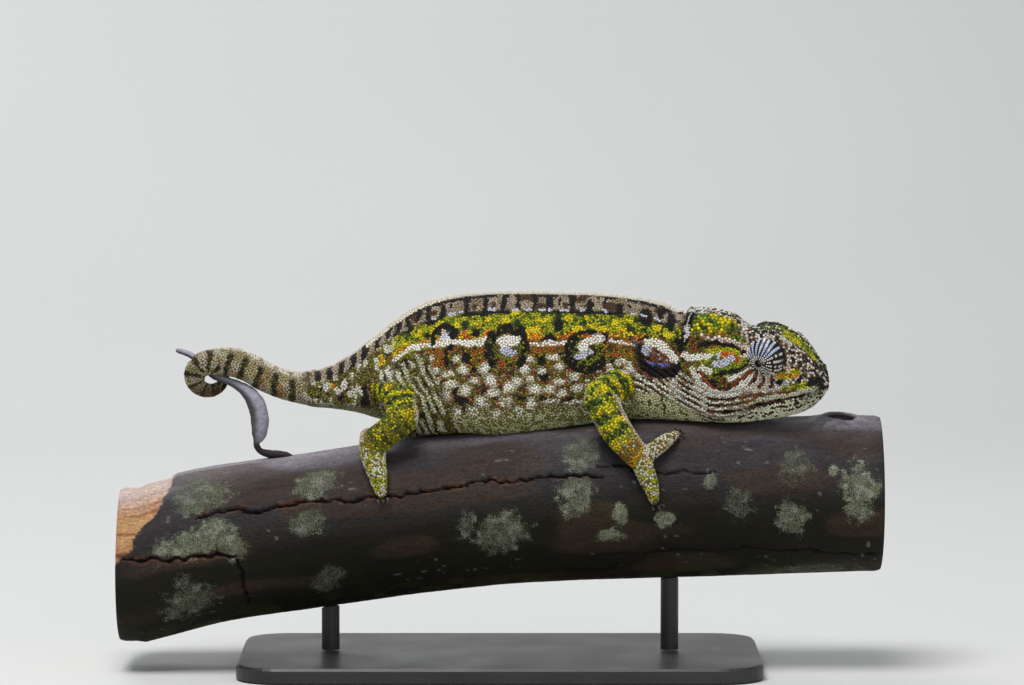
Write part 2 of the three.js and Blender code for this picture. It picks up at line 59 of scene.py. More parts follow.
def smooth(low, high, x):
    t = np.clip((np.asarray(x, float) - low) / (high - low), 0, 1)
    return t * t * (3 - 2 * t)


def bump(x, centre, width):
    """A soft hump of height 1."""
    return np.exp(-(((x - centre) / width) ** 2))


def unit(v):
    return v / np.maximum(np.linalg.norm(v, axis=-1, keepdims=True), 1e-9)


def curve(x, *knots):
    """A smooth function through (place, value) knots that never overshoots them."""
    places = np.array([k[0] for k in knots], float)
    values = np.array([k[1] for k in knots], float)
    slopes = np.diff(values) / np.diff(places)
    before, after = slopes[:-1], slopes[1:]
    flat = before * after <= 0
    middle = np.where(flat, 0, 2 * before * after / np.where(flat, 1, before + after))
    tangents = np.concatenate([slopes[:1], middle, slopes[-1:]])
    x = np.clip(np.asarray(x, float), places[0], places[-1])
    i = np.clip(np.searchsorted(places, x, side="right") - 1, 0, len(places) - 2)
    width = places[i + 1] - places[i]
    t = (x - places[i]) / width
    ease = t * t * (3 - 2 * t)
    bend = (1 - t) * tangents[i] - t * tangents[i + 1]
    return values[i] + (values[i + 1] - values[i]) * ease + width * t * (1 - t) * bend


def hashed(ijk, seed):
    """A repeatable random number from 0 to 1 for each row of whole numbers."""
    h = ijk[..., 0] * 374761393 + ijk[..., 1] * 668265263 + ijk[..., 2] * 2147483647 + seed * 1274126177
    h = h.astype(np.int64) & 0xFFFFFFFF
    h = ((h ^ (h >> 13)) * 1274126177) & 0xFFFFFFFF
    h = ((h ^ (h >> 16)) * 2246822519) & 0xFFFFFFFF
    return ((h ^ (h >> 15)) & 0xFFFFFF) / float(0x1000000)


def noise(p, size, seed):
    """Smooth noise from 0 to 1, with lumps about size across."""
    q = np.asarray(p, float) / size
    cell = np.floor(q).astype(np.int64)
    f = q - cell
    f = f * f * (3 - 2 * f)
    total = 0
    for dx in (0, 1):
        for dy in (0, 1):
            for dz in (0, 1):
                weight = (
                    np.where(dx, f[..., 0], 1 - f[..., 0])
                    * np.where(dy, f[..., 1], 1 - f[..., 1])
                    * np.where(dz, f[..., 2], 1 - f[..., 2])
                )
                total = total + weight * hashed(cell + np.array([dx, dy, dz]), seed)
    return total


def wobble(p, size, seed):
    """Smooth noise from -0.5 to 0.5."""
    return noise(p, size, seed) - 0.5


def layered(p, size, seed):
    """Three layers of noise, each half as large and weaker than the last."""
    total, weight = 0, 0
    for i in range(3):
        total = total + noise(p, size / 2**i, seed + 17 * i) / 1.6**i
        weight += 1 / 1.6**i
    return total / weight


def cells(p, size, seed):
    """Distance to the nearest scattered point, in sizes, and a random number for that point."""
    q = np.asarray(p, float) / size
    cell = np.floor(q).astype(np.int64)
    best = np.full(q.shape[:-1], 9.0)
    which = np.zeros(q.shape[:-1])
    for dx in (-1, 0, 1):
        for dy in (-1, 0, 1):
            for dz in (-1, 0, 1):
                c = cell + np.array([dx, dy, dz])
                spot = c + np.stack([hashed(c, seed + k) for k in (1, 2, 3)], -1)
                d = np.linalg.norm(spot - q, axis=-1)
                nearer = d < best
                which = np.where(nearer, hashed(c, seed + 4), which)
                best = np.where(nearer, d, best)
    return best, which


def blend(under, over, share):
    share = np.clip(share, 0, 1)[..., None]
    return under * (1 - share) + np.asarray(over) * share


def new_mesh(name, points_mm, faces, material, uv=None, colours=None):
    """A mesh object from millimetre points. colours are per point, and linear."""
    mesh = bpy.data.meshes.new(name)
    points = np.asarray(points_mm, np.float32) * MM
    faces = np.asarray(faces, np.int32)
    count, corners = faces.shape
    mesh.vertices.add(len(points))
    mesh.vertices.foreach_set("co", points.ravel())
    mesh.loops.add(count * corners)
    mesh.loops.foreach_set("vertex_index", faces.ravel())
    mesh.polygons.add(count)
    mesh.polygons.foreach_set("loop_start", np.arange(0, count * corners, corners, dtype=np.int32))
    mesh.polygons.foreach_set("loop_total", np.full(count, corners, np.int32))
    mesh.update(calc_edges=True)
    mesh.polygons.foreach_set("use_smooth", np.full(count, True))
    if uv is not None:
        layer = mesh.uv_layers.new(name="OFBake")
        layer.data.foreach_set("uv", np.asarray(uv, np.float32)[faces.ravel()].ravel())
    if colours is not None:
        layer = mesh.color_attributes.new("tint", "FLOAT_COLOR", "POINT")
        rgba = np.ones((len(points), 4), np.float32)
        rgba[:, :3] = colours
        layer.data.foreach_set("color", rgba.ravel())
    mesh.materials.append(material)
    obj = bpy.data.objects.new(name, mesh)
    bpy.context.scene.collection.objects.link(obj)
    return obj


def attribute(obj, name, values):
    layer = obj.data.attributes.new(name, "FLOAT", "POINT")
    layer.data.foreach_set("value", np.asarray(values, np.float32))


def has(names, part):
    """Which names have this part in them."""
    return np.char.find(names, part) >= 0


def ring_quads(index):
    """Quads between the rows of a grid of point numbers, whose rows are closed rings."""
    a, b = index[:-1], index[1:]
    return np.stack([a, b, np.roll(b, -1, 1), np.roll(a, -1, 1)], -1).reshape(-1, 4)


def fan(tip, ring):
    """Triangles from one point to each side of a ring."""
    return np.stack([np.full(len(ring), tip), ring, np.roll(ring, -1)], 1)


def band(a, b):
    """Quads between rings of point numbers, wound the other way than those of ring_quads."""
    return np.stack([a, np.roll(a, -1, -1), np.roll(b, -1, -1), b], -1).reshape(-1, 4)


def halved(quads):
    return np.concatenate([quads[:, [0, 1, 2]], quads[:, [0, 2, 3]]])


# ---- The animal's measures, the same as the solids' ----

# Ribs from the neck to the tail's coil: top x, top z, bottom x, bottom z.
RIBS = np.array([
    (34.6, 72.0, 34.6, 49.4), (29.4, 73.6, 29.6, 49.3), (22.6, 74.6, 23.0, 48.7), (16.4, 75.0, 16.6, 47.6),
    (8.2, 75.2, 8.4, 46.8), (0.0, 75.2, 0.0, 46.2), (-8.2, 74.5, -8.4, 45.9), (-14.2, 72.9, -14.4, 46.2),
    (-19.4, 70.1, -18.8, 47.7), (-24.4, 66.2, -22.6, 49.4), (-28.4, 62.9, -26.6, 50.5),
    (-32.0, 60.6, -30.8, 51.4),
    (-36.2, 59.1, -35.4, 51.9), (-40.6, 58.7, -40.6, 52.7), (-44.6, 59.9, -45.4, 54.0),
    (-48.4, 62.0, -50.2, 56.2),
    (-52.4, 63.9, -54.0, 58.0), (-56.2, 64.3, -56.8, 58.5),
])
COIL_X, COIL_Z = -58.3, 58.2
NECK_BEND, NECK_END, BEND_ANGLE = 17.0, 33.6, 11 * RAD
HEAD_X, HEAD_ROLL, ROLL_HEIGHT = 34.9, 7 * RAD, 58.0
# Where the head's own frame starts along the unbent spine.
HEAD_SHIFT = 35.04
EYE_ALONG, EYE_SIDE, EYE_Z, EYE_RADIUS, EYE_REACH = 19.2, 3.5, 63.7, 4.25, 3.8
PERCH_HALF, PERCH_RADIUS = 76.0, 15.8
BEND_RADIUS = (NECK_END - NECK_BEND) / math.sin(BEND_ANGLE)
HEAD_SIDE = -BEND_RADIUS * (1 - math.cos(BEND_ANGLE)) - 0.3

# Each limb's side, and its joints from the hip or shoulder to the wrist or ankle: x, distance from the
# middle, z.
LIMBS = {
    "front_right": (-1, [
        (24.6, 4.2, 57.2), (22.6, 8.8, 56.8), (19.5, 12.2, 55.4), (22.8, 14.2, 49.2), (27.0, 15.4, 43.8),
    ]),
    "front_left": (1, [
        (24.0, 4.2, 57.0), (21.6, 8.0, 56.6), (18.0, 11.4, 55.0), (20.4, 14.0, 49.6), (23.4, 15.6, 44.4),
    ]),
    "hind_right": (-1, [
        (-23.4, 3.0, 57.6), (-20.8, 7.8, 55.8), (-18.6, 11.0, 51.2), (-21.8, 11.4, 48.5), (-25.3, 10.4, 46.2),
    ]),
    "hind_left": (1, [
        (-24.6, 3.0, 57.4), (-20.4, 7.6, 56.2), (-15.2, 10.6, 54.2), (-16.4, 12.0, 49.6), (-18.6, 12.4, 45.6),
    ]),
}


def from_head(h):
    """Points from the head's own frame: along from the nape to the snout, side to its left, and height."""
    h = np.asarray(h, float)
    c, s = math.cos(HEAD_ROLL), math.sin(HEAD_ROLL)
    x, y, z = h[..., 0], h[..., 1], h[..., 2] - ROLL_HEIGHT
    y, z = c * y - s * z, s * y + c * z
    c, s = math.cos(BEND_ANGLE), math.sin(BEND_ANGLE)
    x, y = c * x + s * y, -s * x + c * y
    return np.stack([x + HEAD_X, y + HEAD_SIDE, z + ROLL_HEIGHT], -1)


def bend_side(x):
    """How far the body's middle plane has moved to the right at a place along X."""
    turned = np.arcsin(np.clip((x - NECK_BEND) / BEND_RADIUS, 0, 1))
    return -BEND_RADIUS * (1 - np.cos(turned))


def chart(p):
    """Points with the neck's bend and the head's roll taken out: along the spine, to the left, and up."""
    dx, dy = p[:, 0] - NECK_BEND, p[:, 1] + BEND_RADIUS
    angle = np.arctan2(dx, dy)
    c, s = math.cos(BEND_ANGLE), math.sin(BEND_ANGLE)
    along = np.where(angle < 0, p[:, 0], NECK_BEND + BEND_RADIUS * angle)
    side = np.where(angle < 0, p[:, 1], np.hypot(dx, dy) - BEND_RADIUS)
    past = angle > BEND_ANGLE
    along = np.where(past, NECK_BEND + BEND_RADIUS * BEND_ANGLE + c * dx - s * dy, along)
    side = np.where(past, s * dx + c * dy - BEND_RADIUS, side)
    roll = HEAD_ROLL * smooth(NECK_BEND, NECK_END, along)
    rise = p[:, 2] - ROLL_HEIGHT
    return np.stack([
        along, np.cos(roll) * side + np.sin(roll) * rise,
        np.cos(roll) * rise - np.sin(roll) * side + ROLL_HEIGHT
    ], 1)


def rib_frame(q):
    """Where charted points lie on the trunk, neck and straight tail: the rib, counted from the neck, and the
    height from 0 at the belly to 1 at the crest."""
    places = np.linspace(0, len(RIBS) - 1, 341)
    index = np.arange(len(RIBS))
    tx, tz, bx, bz = (curve(places, *zip(index, RIBS[:, k])) for k in range(4))
    up = np.stack([tx - bx, tz - bz], -1)
    depth = np.linalg.norm(up, axis=1)
    up /= depth[:, None]
    best = np.full(len(q), 1e9)
    place, height = np.zeros(len(q)), np.zeros(len(q))
    for i in range(len(places)):
        dx, dz = q[:, 0] - bx[i], q[:, 2] - bz[i]
        across = np.abs(dx * up[i, 1] - dz * up[i, 0])
        rise = (dx * up[i, 0] + dz * up[i, 1]) / depth[i]
        miss = across + 4 * np.maximum(np.abs(rise - 0.5) - 0.62, 0)
        nearer = miss < best
        best = np.where(nearer, miss, best)
        place = np.where(nearer, places[i], place)
        height = np.where(nearer, rise, height)
    return place, height


def limb_frame(p, name):
    """Millimetres down a limb from its root, and the offset from its axis."""
    side, joints = LIMBS[name]
    joints = np.array(joints) * np.array([1, side, 1])
    best = np.full(len(p), 1e9)
    down = np.zeros(len(p))
    offset = np.zeros_like(p)
    start = 0.0
    for a, b in zip(joints[:-1], joints[1:]):
        length = np.linalg.norm(b - a)
        t = np.clip((p - a) @ (b - a) / length**2, 0, 1)
        away = p - (a + t[:, None] * (b - a))
        d = np.linalg.norm(away, axis=1)
        nearer = d < best
        best = np.where(nearer, d, best)
        down = np.where(nearer, start + t * length, down)
        offset = np.where(nearer[:, None], away, offset)
        start += length
    return down, offset


# ---- The skin ----

# The grid's step, and how far the pieces of flesh flow into each other: in general, at the toes, round the
# eyes.
VOXEL = 0.36
FLOW, TOE_FLOW, EYE_FLOW = 1.8, 1.2, 2.5
# How far the skin stays under the eye turrets, and under the solids, which leaves room for the scales.
EYE_SINK = 0.32
COAT_DEPTH = 0.16
# How many voxels to each side of a surface its distance is known for.
BAND = 7
SMOOTHING_ROUNDS = 44
FLESH_LOW = np.array([-70.0, -24.0, 28.0])
FLESH_HIGH = np.array([72.0, 24.0, 80.0])
CLAW_NODES = sorted(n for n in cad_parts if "claw" in n)
OTHER_NODES = ("stand_", "perch_", "eye_")
FLESH_NODES = sorted(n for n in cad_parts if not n.startswith(OTHER_NODES) and "claw" not in n)


def triangles(obj):
    mesh = obj.data
    mesh.calc_loop_triangles()
    points = np.empty(len(mesh.vertices) * 3, np.float32)
    mesh.vertices.foreach_get("co", points)
    faces = np.empty(len(mesh.loop_triangles) * 3, np.int32)
    mesh.loop_triangles.foreach_get("vertices", faces)
    return points.reshape(-1, 3) / MM, faces.reshape(-1, 3)


def distance_field(node, shape, low_cell):
    points, faces = triangles(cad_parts[node])
    grid = vdb.FloatGrid.createLevelSetFromPolygons(
        points.astype(np.float32), triangles=faces.astype(np.uint32),
        transform=vdb.createLinearTransform(voxelSize=VOXEL), halfWidth=float(BAND),
    )
    # only the box round the node is read, because the rest is far away
    low = np.floor(points.min(0) / VOXEL).astype(int) - (BAND + 1) - low_cell
    high = np.ceil(points.max(0) / VOXEL).astype(int) + (BAND + 2) - low_cell
    low, high = np.maximum(low, 0), np.minimum(high, shape)
    part = np.zeros(high - low, np.float32)
    grid.copyToArray(part, ijk=tuple(int(v) for v in low + low_cell))
    return part, tuple(slice(a, b) for a, b in zip(low, high))


def soft_minimum(a, b, reach):
    near = np.maximum(reach - np.abs(a - b), 0) / reach
    return np.minimum(a, b) - near * near * reach / 4


def flesh_field():
    """The distance to the whole animal's surface on a grid, with its pieces flowed into each other."""
    low_cell = np.floor(FLESH_LOW / VOXEL).astype(int)
    shape = np.ceil((FLESH_HIGH - FLESH_LOW) / VOXEL).astype(int)
    far = BAND * VOXEL
    field = np.full(shape, far, np.float32)
    label = np.zeros(shape, np.int16)
    nearest = np.full(shape, far, np.float32)
    for i, node in enumerate(FLESH_NODES):
        part, where = distance_field(node, shape, low_cell)
        field[where] = soft_minimum(field[where], part, TOE_FLOW if "toes" in node else FLOW)
        closer = part < nearest[where]
        label[where][closer] = i
        nearest[where][closer] = part[closer]
    # the skin swells round each eye, and stays a little under it
    for node in ("eye_left", "eye_right"):
        part, where = distance_field(node, shape, low_cell)
        part = part + EYE_SINK
        field[where] = soft_minimum(field[where], part, EYE_FLOW)
        label[where][part < nearest[where]] = FLESH_NODES.index("head")
    return field, label, low_cell


def blurred(field):
    for axis in range(3):
        field = (np.roll(field, 1, axis) + np.roll(field, -1, axis) + 2 * field) / 4
    return field


def surface(field, low_cell, level):
    grid = vdb.FloatGrid(float(BAND * VOXEL))
    grid.copyFromArray(field, ijk=tuple(int(v) for v in low_cell))
    grid.transform = vdb.createLinearTransform(voxelSize=VOXEL)
    points, quads = grid.convertToQuads(level)
    return points.astype(float), quads.astype(np.int64)


def largest_shell(points, quads):
    """The mesh's largest connected piece, by spreading the lowest vertex number."""
    group = np.arange(len(points))
    while True:
        lowest = group[quads].min(1)
        spread = group.copy()
        for k in range(4):
            np.minimum.at(spread, quads[:, k], lowest)
        spread = spread[spread]
        if (spread == group).all():
            break
        group = spread
    kept = group == np.bincount(group).argmax()
    renumber = np.cumsum(kept) - 1
    return points[kept], renumber[quads[kept[quads[:, 0]]]]


def quad_edges(quads):
    edges = np.concatenate([quads[:, [k, (k + 1) % 4]] for k in range(4)])
    return np.unique(np.sort(edges, axis=1), axis=0)


def vertex_normals(points, quads):
    a, b, c, d = (points[quads[:, k]] for k in range(4))
    face = np.cross(c - a, d - b)
    total = np.stack([
        sum(np.bincount(quads[:, k], face[:, axis], len(points)) for k in range(4)) for axis in range(3)
    ], 1)
    return unit(total)


def neighbour_mean(values, edges, count):
    i, j = edges[:, 0], edges[:, 1]
    number = np.bincount(i, minlength=count) + np.bincount(j, minlength=count)
    if values.ndim == 1:
        return (np.bincount(i, values[j], count) + np.bincount(j, values[i], count)) / number
    return np.stack([
        (np.bincount(i, values[j, k], count) + np.bincount(j, values[i, k], count)) / number
        for k in range(values.shape[1])
    ], 1)


def build_skin():
    field, label, low_cell = flesh_field()
    points, quads = surface(blurred(field), low_cell, -COAT_DEPTH)
    points, quads = largest_shell(points, quads)
    a, b, c = (points[quads[:, k]] for k in range(3))
    if (np.cross(b - a, c - a) * a).sum() < 0:
        quads = quads[:, ::-1]
    cell = np.round(points / VOXEL).astype(int) - low_cell
    owner = label[cell[:, 0], cell[:, 1], cell[:, 2]]
    names = np.array(FLESH_NODES)[owner]
    # how much each part is smoothed
    ease = np.full(len(points), 0.45)
    for node, amount in {
        "trunk": 1, "neck": 1, "tail_1": 1, "tail_2": 0.9, "tail_3": 0.8, "head": 0.35
    }.items():
        ease[names == node] = amount
    ease[has(names, "toes")] = 0.15
    edges = quad_edges(quads)
    for _ in range(12):
        ease = neighbour_mean(ease, edges, len(points))
    for _ in range(SMOOTHING_ROUNDS):
        mean = neighbour_mean(points, edges, len(points))
        points = points + (0.6 * ease)[:, None] * (mean - points)
    return points, quads, names


# ---- Scales: where they sit, and their shape ----

# How many meshes the scales are spread over, how wide each one's patch of the unwrap is, and the painted
# shade
# of the skin between them: darker and warmer than the markings, standing in for the shadow in the gaps
# between scales.
PIECES = 6
PATCH = 0.003
GAP_SHADE = np.array([0.42, 0.37, 0.20])


def pairs_within(points, reach):
    """Every pair of points nearer than reach, once each."""
    cell = np.floor(points / reach).astype(np.int64)
    cell -= cell.min(0) - 1
    size = cell.max(0) + 2
    key = (cell[:, 0] * size[1] + cell[:, 1]) * size[2] + cell[:, 2]
    order = np.argsort(key, kind="stable")
    ranked = key[order]
    first, second = [], []
    steps = [(0, 0, 0), (0, 0, 1)]
    steps += [(0, 1, k) for k in (-1, 0, 1)]
    steps += [(1, j, k) for j in (-1, 0, 1) for k in (-1, 0, 1)]
    for dx, dy, dz in steps:
        wanted = key + (dx * size[1] + dy) * size[2] + dz
        low = np.searchsorted(ranked, wanted, "left")
        count = np.searchsorted(ranked, wanted, "right") - low
        i = np.repeat(np.arange(len(points)), count)
        start = np.repeat(np.cumsum(count) - count, count)
        j = order[np.repeat(low, count) + np.arange(len(i)) - start]
        if (dx, dy, dz) == (0, 0, 0):
            i, j = i[i < j], j[i < j]
        near = ((points[i] - points[j]) ** 2).sum(1) < reach * reach
        first.append(i[near])
        second.append(j[near])
    return np.concatenate(first), np.concatenate(second)


def thinned(points, spacing):
    """Points picked at random so that none is nearer to another than their spacing."""
    i, j = pairs_within(points, spacing.max())
    near = ((points[i] - points[j]) ** 2).sum(1) < (0.5 * (spacing[i] + spacing[j])) ** 2
    i, j = i[near], j[near]
    rank = rng.permutation(len(points))
    open_, kept = np.ones(len(points), bool), np.zeros(len(points), bool)
    while open_.any():
        live = open_[i] & open_[j]
        i, j = i[live], j[live]
        beaten = np.zeros(len(points), bool)
        beaten[np.where(rank[i] > rank[j], i, j)] = True
        chosen = open_ & ~beaten
        kept |= chosen
        open_ &= ~chosen
        open_[i[chosen[j]]] = False
        open_[j[chosen[i]]] = False
    return np.nonzero(kept)[0]


class Ground:
    """A mesh that scales stand on."""

    def __init__(self, points, quads, values):
        self.points, self.quads = points, quads
        self.normals = vertex_normals(points, quads)
        self.values = values
        self.tree = BVHTree.FromPolygons(points.tolist(), quads.tolist())

    def settle(self, points):
        """The nearest ground points, their normals, and the ground's values there."""
        found = [self.tree.find_nearest(p) for p in points.tolist()]
        spots = np.array([f[0] for f in found])
        corners = self.quads[np.array([f[2] for f in found])]
        distance = np.linalg.norm(self.points[corners] - spots[:, None], axis=2)
        weight = 1 / (distance + 0.02)
        weight /= weight.sum(1, keepdims=True)
        normals = unit((self.normals[corners] * weight[..., None]).sum(1))
        return spots, normals, (self.values[corners] * weight).sum(1), corners[:, 0]

    def scatter(self, count):
        """Random points, more of them where the values, which are spacings, are small."""
        halves = halved(self.quads)
        a, b, c = (self.points[halves[:, k]] for k in range(3))
        area = np.linalg.norm(np.cross(b - a, c - a), axis=1) / self.values[halves[:, 0]] ** 2
        pick = rng.choice(len(halves), count, p=area / area.sum())
        u, v = rng.random(count), rng.random(count)
        flip = u + v > 1
        u, v = np.where(flip, 1 - u, u), np.where(flip, 1 - v, v)
        points = a[pick] + u[:, None] * (b[pick] - a[pick]) + v[:, None] * (c[pick] - a[pick])
        return points, self.values[halves[pick, 0]]


def packed_roots(ground, rounds):
    """Scale roots over the ground, spread until each has about six neighbours at its spacing."""
    a, b, c, d = (ground.points[ground.quads[:, k]] for k in range(4))
    area = 0.5 * np.linalg.norm(np.cross(c - a, d - b), axis=1)
    # each root's share of the ground is a hexagon, 0.866 of its spacing squared
    wanted = (area / (0.866 * ground.values[ground.quads[:, 0]] ** 2)).sum()
    points, spacing = ground.scatter(int(4.5 * wanted))
    kept = thinned(points, 0.83 * spacing)
    points, spacing = points[kept], spacing[kept]
    for _ in range(rounds):
        i, j = pairs_within(points, 1.45 * spacing.max())
        gap = points[i] - points[j]
        length = np.linalg.norm(gap, axis=1) + 1e-9
        want = 0.5 * (spacing[i] + spacing[j]) * 1.18
        push = np.maximum(want - length, 0)[:, None] * gap / length[:, None]
        n = len(points)
        move = np.stack([np.bincount(i, push[:, k], n) - np.bincount(j, push[:, k], n) for k in range(3)], 1)
        points, normals, spacing, corner = ground.settle(points + 0.22 * move)
    return points, normals, spacing, corner


def hexagon_turn(points, normals, spacing):
    """Two directions across each root, turned so that a hexagon's flat sides face the neighbours."""
    side = unit(np.cross(normals, np.array([0.02, 1.0, 0.03])))
    other = np.cross(normals, side)
    i, j = pairs_within(points, 1.6 * spacing.max())
    i, j = np.concatenate([i, j]), np.concatenate([j, i])
    gap = points[j] - points[i]
    near = np.linalg.norm(gap, axis=1) < 1.45 * spacing[i]
    i, gap = i[near], gap[near]
    angle = np.arctan2((gap * other[i]).sum(1), (gap * side[i]).sum(1))
    real = np.bincount(i, np.cos(6 * angle), len(points))
    imaginary = np.bincount(i, np.sin(6 * angle), len(points))
    turn = np.arctan2(imaginary, real) / 6 + math.pi / 6
    c, s = np.cos(turn)[:, None], np.sin(turn)[:, None]
    return c * side + s * other, c * other - s * side


def cone_faces(sides, rings, count):
    """Faces of cones that are stacked rings of points with a tip."""
    faces = []
    for ring in range(rings - 1):
        for k in range(sides):
            a, b = sides * ring + k, sides * ring + (k + 1) % sides
            faces += [(a, b, b + sides), (a, b + sides, a + sides)]
    top = sides * (rings - 1)
    faces += [(top + k, top + (k + 1) % sides, sides * rings) for k in range(sides)]
    corners = sides * rings + 1
    return (np.array(faces)[None] + corners * np.arange(count)[:, None, None]).reshape(-1, 3)


def patch_uv(uv, sides, rings):
    """A small patch of the unwrap at each root: rings of the cone's corners, and its middle."""
    turns = 2 * math.pi / sides
    around = np.array([(math.cos(k * turns), math.sin(k * turns)) for k in range(sides)])
    patch = np.concatenate([share * around for share in rings] + [np.zeros((1, 2))]) * PATCH / 2
    return (uv[:, None] + patch[None]).reshape(-1, 2)


def domes(points, normals, side, other, radius, height):
    """The points and faces of a low six-sided dome on each root."""
    parts = []
    for share, lift in ((1.0, -0.45), (0.76, 0.64)):
        for k in range(6):
            a = k * math.pi / 3
            parts.append(
                points + (radius * share * math.cos(a))[:, None] * side
                + (radius * share * math.sin(a))[:, None] * other + (height * lift)[:, None] * normals
            )
    parts.append(points + height[:, None] * normals)
    return np.stack(parts, 1).reshape(-1, 3), cone_faces(6, 2, len(points))


def dome_colours(tints):
    """Each dome's colour, with painted shade at its foot and a slight painted highlight at its top."""
    # painted light: the foot ring takes the gap's painted shade, the middle ring a little less, the top a
    # slight painted highlight
    shade = np.concatenate([np.tile(0.85 * GAP_SHADE, (6, 1)), np.full((6, 3), 0.95), np.full((1, 3), 1.04)])
    return np.repeat(tints, 13, 0) * np.tile(shade, (len(tints), 1))


# ---- Colours and the marks made with them, which are linear ----

BLACK = np.array([0.007, 0.006, 0.006])
CREAM = np.array([0.70, 0.66, 0.56])
WHITE = np.array([0.82, 0.80, 0.75])
PALE = np.array([0.54, 0.55, 0.43])
PINK = np.array([0.66, 0.44, 0.38])
YELLOW = np.array([0.68, 0.56, 0.010])
LIME = np.array([0.30, 0.34, 0.010])
GREEN = np.array([0.10, 0.16, 0.010])
DARK_GREEN = np.array([0.022, 0.040, 0.010])
OLIVE = np.array([0.10, 0.09, 0.014])
RUST = np.array([0.32, 0.075, 0.016])
ORANGE = np.array([0.68, 0.22, 0.012])
BROWN = np.array([0.085, 0.045, 0.022])
MAUVE = np.array([0.34, 0.28, 0.22])
LAVENDER = np.array([0.56, 0.58, 0.76])
BLUE = np.array([0.14, 0.15, 0.52])
BELLY = np.array([0.39, 0.40, 0.23])
TAN = np.array([0.36, 0.27, 0.17])


class Paint:
    """Colours for points, laid over each other. Marks are placed in two measures, across and up."""

    def __init__(self, p, across, up, seed):
        self.colour = np.zeros((len(p), 3))
        self.chance = noise(p, 0.5, seed + 9)
        self.across = across + 0.68 * wobble(p, 1.0, seed)
        self.up = up + 0.60 * wobble(p, 1.0, seed + 5)

    def lay(self, colour, share):
        self.colour = blend(self.colour, colour, share)

    def spot(self, colour, x, y, half, tall, tilt=0.0):
        """An oval, with its right end raised by tilt degrees."""
        c, s = math.cos(tilt * RAD), math.sin(tilt * RAD)
        dx, dy = self.across - x, self.up - y
        d = np.hypot((c * dx + s * dy) / half, (c * dy - s * dx) / tall)
        self.lay(colour, smooth(1.12, 0.9, d))

    def stroke(self, colour, half, *points):
        """A line through points, as wide as twice half."""
        self.lay(colour, smooth(1.15 * half, 0.8 * half, self.off_line(points)))

    def ring(self, colour, x, y, half, tall, width, start, end):
        """An arc of an oval. Angles run anticlockwise in degrees from the right."""
        dx, dy = (self.across - x) / half, (self.up - y) / tall
        angle = (np.degrees(np.arctan2(dy, dx)) - start) % 360
        off = np.abs(np.hypot(dx, dy) - 1) * 0.5 * (half + tall)
        inside = smooth(-6, 6, angle) * smooth(end - start + 6, end - start - 6, angle)
        self.lay(colour, smooth(1.15 * width, 0.8 * width, off) * inside)

    def off_line(self, points):
        best = np.full(len(self.across), 1e9)
        for (ax, ay), (bx, by) in zip(points[:-1], points[1:]):
            length = (bx - ax) ** 2 + (by - ay) ** 2
            t = np.clip(((self.across - ax) * (bx - ax) + (self.up - ay) * (by - ay)) / length, 0, 1)
            best = np.minimum(best, np.hypot(self.across - ax - t * (bx - ax), self.up - ay - t * (by - ay)))
        return best


def picked(grain, *shares):
    """A colour for each random number: shares are (share, colour) pairs that sum to 1."""
    colour = np.zeros((len(grain), 3))
    start = 0.0
    for share, value in shares:
        colour[(grain >= start) & (grain < start + share)] = value
        start += share
    colour[grain >= start] = shares[-1][1]
    return colour


# ---- The flank's markings: millimetres along the body, and below the crest where the trunk is deepest ----

TRUNK_DEPTH = 29.0
# Dark bars of the back: place, half width, and where they start and end below the crest.
BACK_BARS = [
    (-22.8, 0.6, 0.3, 3.0), (-20.5, 0.9, 0.3, 3.2), (-18.2, 0.5, 0.6, 3.0), (-16.1, 0.45, 0.2, 2.8),
    (-14.2, 0.45, 0.3, 3.2), (-11.3, 0.65, 1.2, 3.5), (-9.3, 0.3, 0.3, 1.8), (-6.6, 0.7, 0.2, 3.7),
    (-4.2, 0.25, 0.2, 1.2), (-2.6, 0.55, 0.2, 2.7), (0.8, 0.65, 0.9, 3.2), (3.8, 0.5, 0.2, 3.2),
    (7.0, 0.55, 0.2, 3.6),
    (10.0, 0.75, 0.2, 3.7), (12.2, 0.25, 1.0, 2.6), (14.6, 0.65, 0.2, 3.4), (18.0, 0.75, 1.6, 3.9),
    (21.0, 0.35, 0.2, 1.8), (24.2, 0.8, 1.5, 3.9), (26.4, 0.3, 0.2, 2.2), (29.6, 1.4, 2.2, 4.9),
    (32.6, 0.8, 0.4, 2.4),
    (34.9, 1.0, 1.4, 4.3),
]
# Pale dashes under the back: place, and half length.
BACK_DASHES = [
    (-18.7, 0.5), (-13.2, 0.6), (-9.5, 0.6), (-7.7, 0.5), (-2.1, 0.7), (-1.0, 0.5), (2.9, 0.9), (5.6, 0.9),
    (8.4, 0.6),
    (9.9, 0.6), (12.5, 1.1), (16.3, 0.7), (21.1, 0.8), (26.7, 0.6), (29.0, 0.5), (31.6, 0.8),
]
# Yellow and orange spots of the green band: place, drop, half length, half height.
YELLOW_SPOTS = [
    (-21.3, 5.1, 0.6, 0.5), (-18.9, 6.8, 0.7, 0.5), (-16.1, 5.4, 0.6, 0.6), (-13.2, 5.9, 0.7, 0.5),
    (-11.9, 4.7, 1.0, 0.6), (-8.5, 5.6, 0.7, 0.6), (-7.6, 4.0, 0.6, 0.5), (-4.8, 5.6, 1.0, 0.4),
    (-2.2, 5.0, 0.7, 0.4),
    (1.1, 5.3, 1.1, 0.5), (1.2, 6.9, 1.5, 0.5), (3.1, 4.1, 0.8, 0.4), (6.9, 7.1, 1.2, 0.6),
    (8.4, 5.4, 1.2, 0.5),
    (13.7, 5.0, 0.9, 0.6), (15.4, 6.9, 1.2, 0.6), (17.3, 5.1, 0.7, 0.4), (20.4, 7.0, 1.6, 0.6),
    (18.3, 6.4, 0.9, 0.4),
    (23.2, 5.6, 0.8, 0.6), (26.1, 4.9, 0.7, 0.4), (24.6, 6.7, 0.9, 0.6), (26.2, 7.6, 1.0, 0.4),
    (31.7, 5.1, 0.8, 0.8),
    (34.3, 5.9, 1.0, 0.8),
]
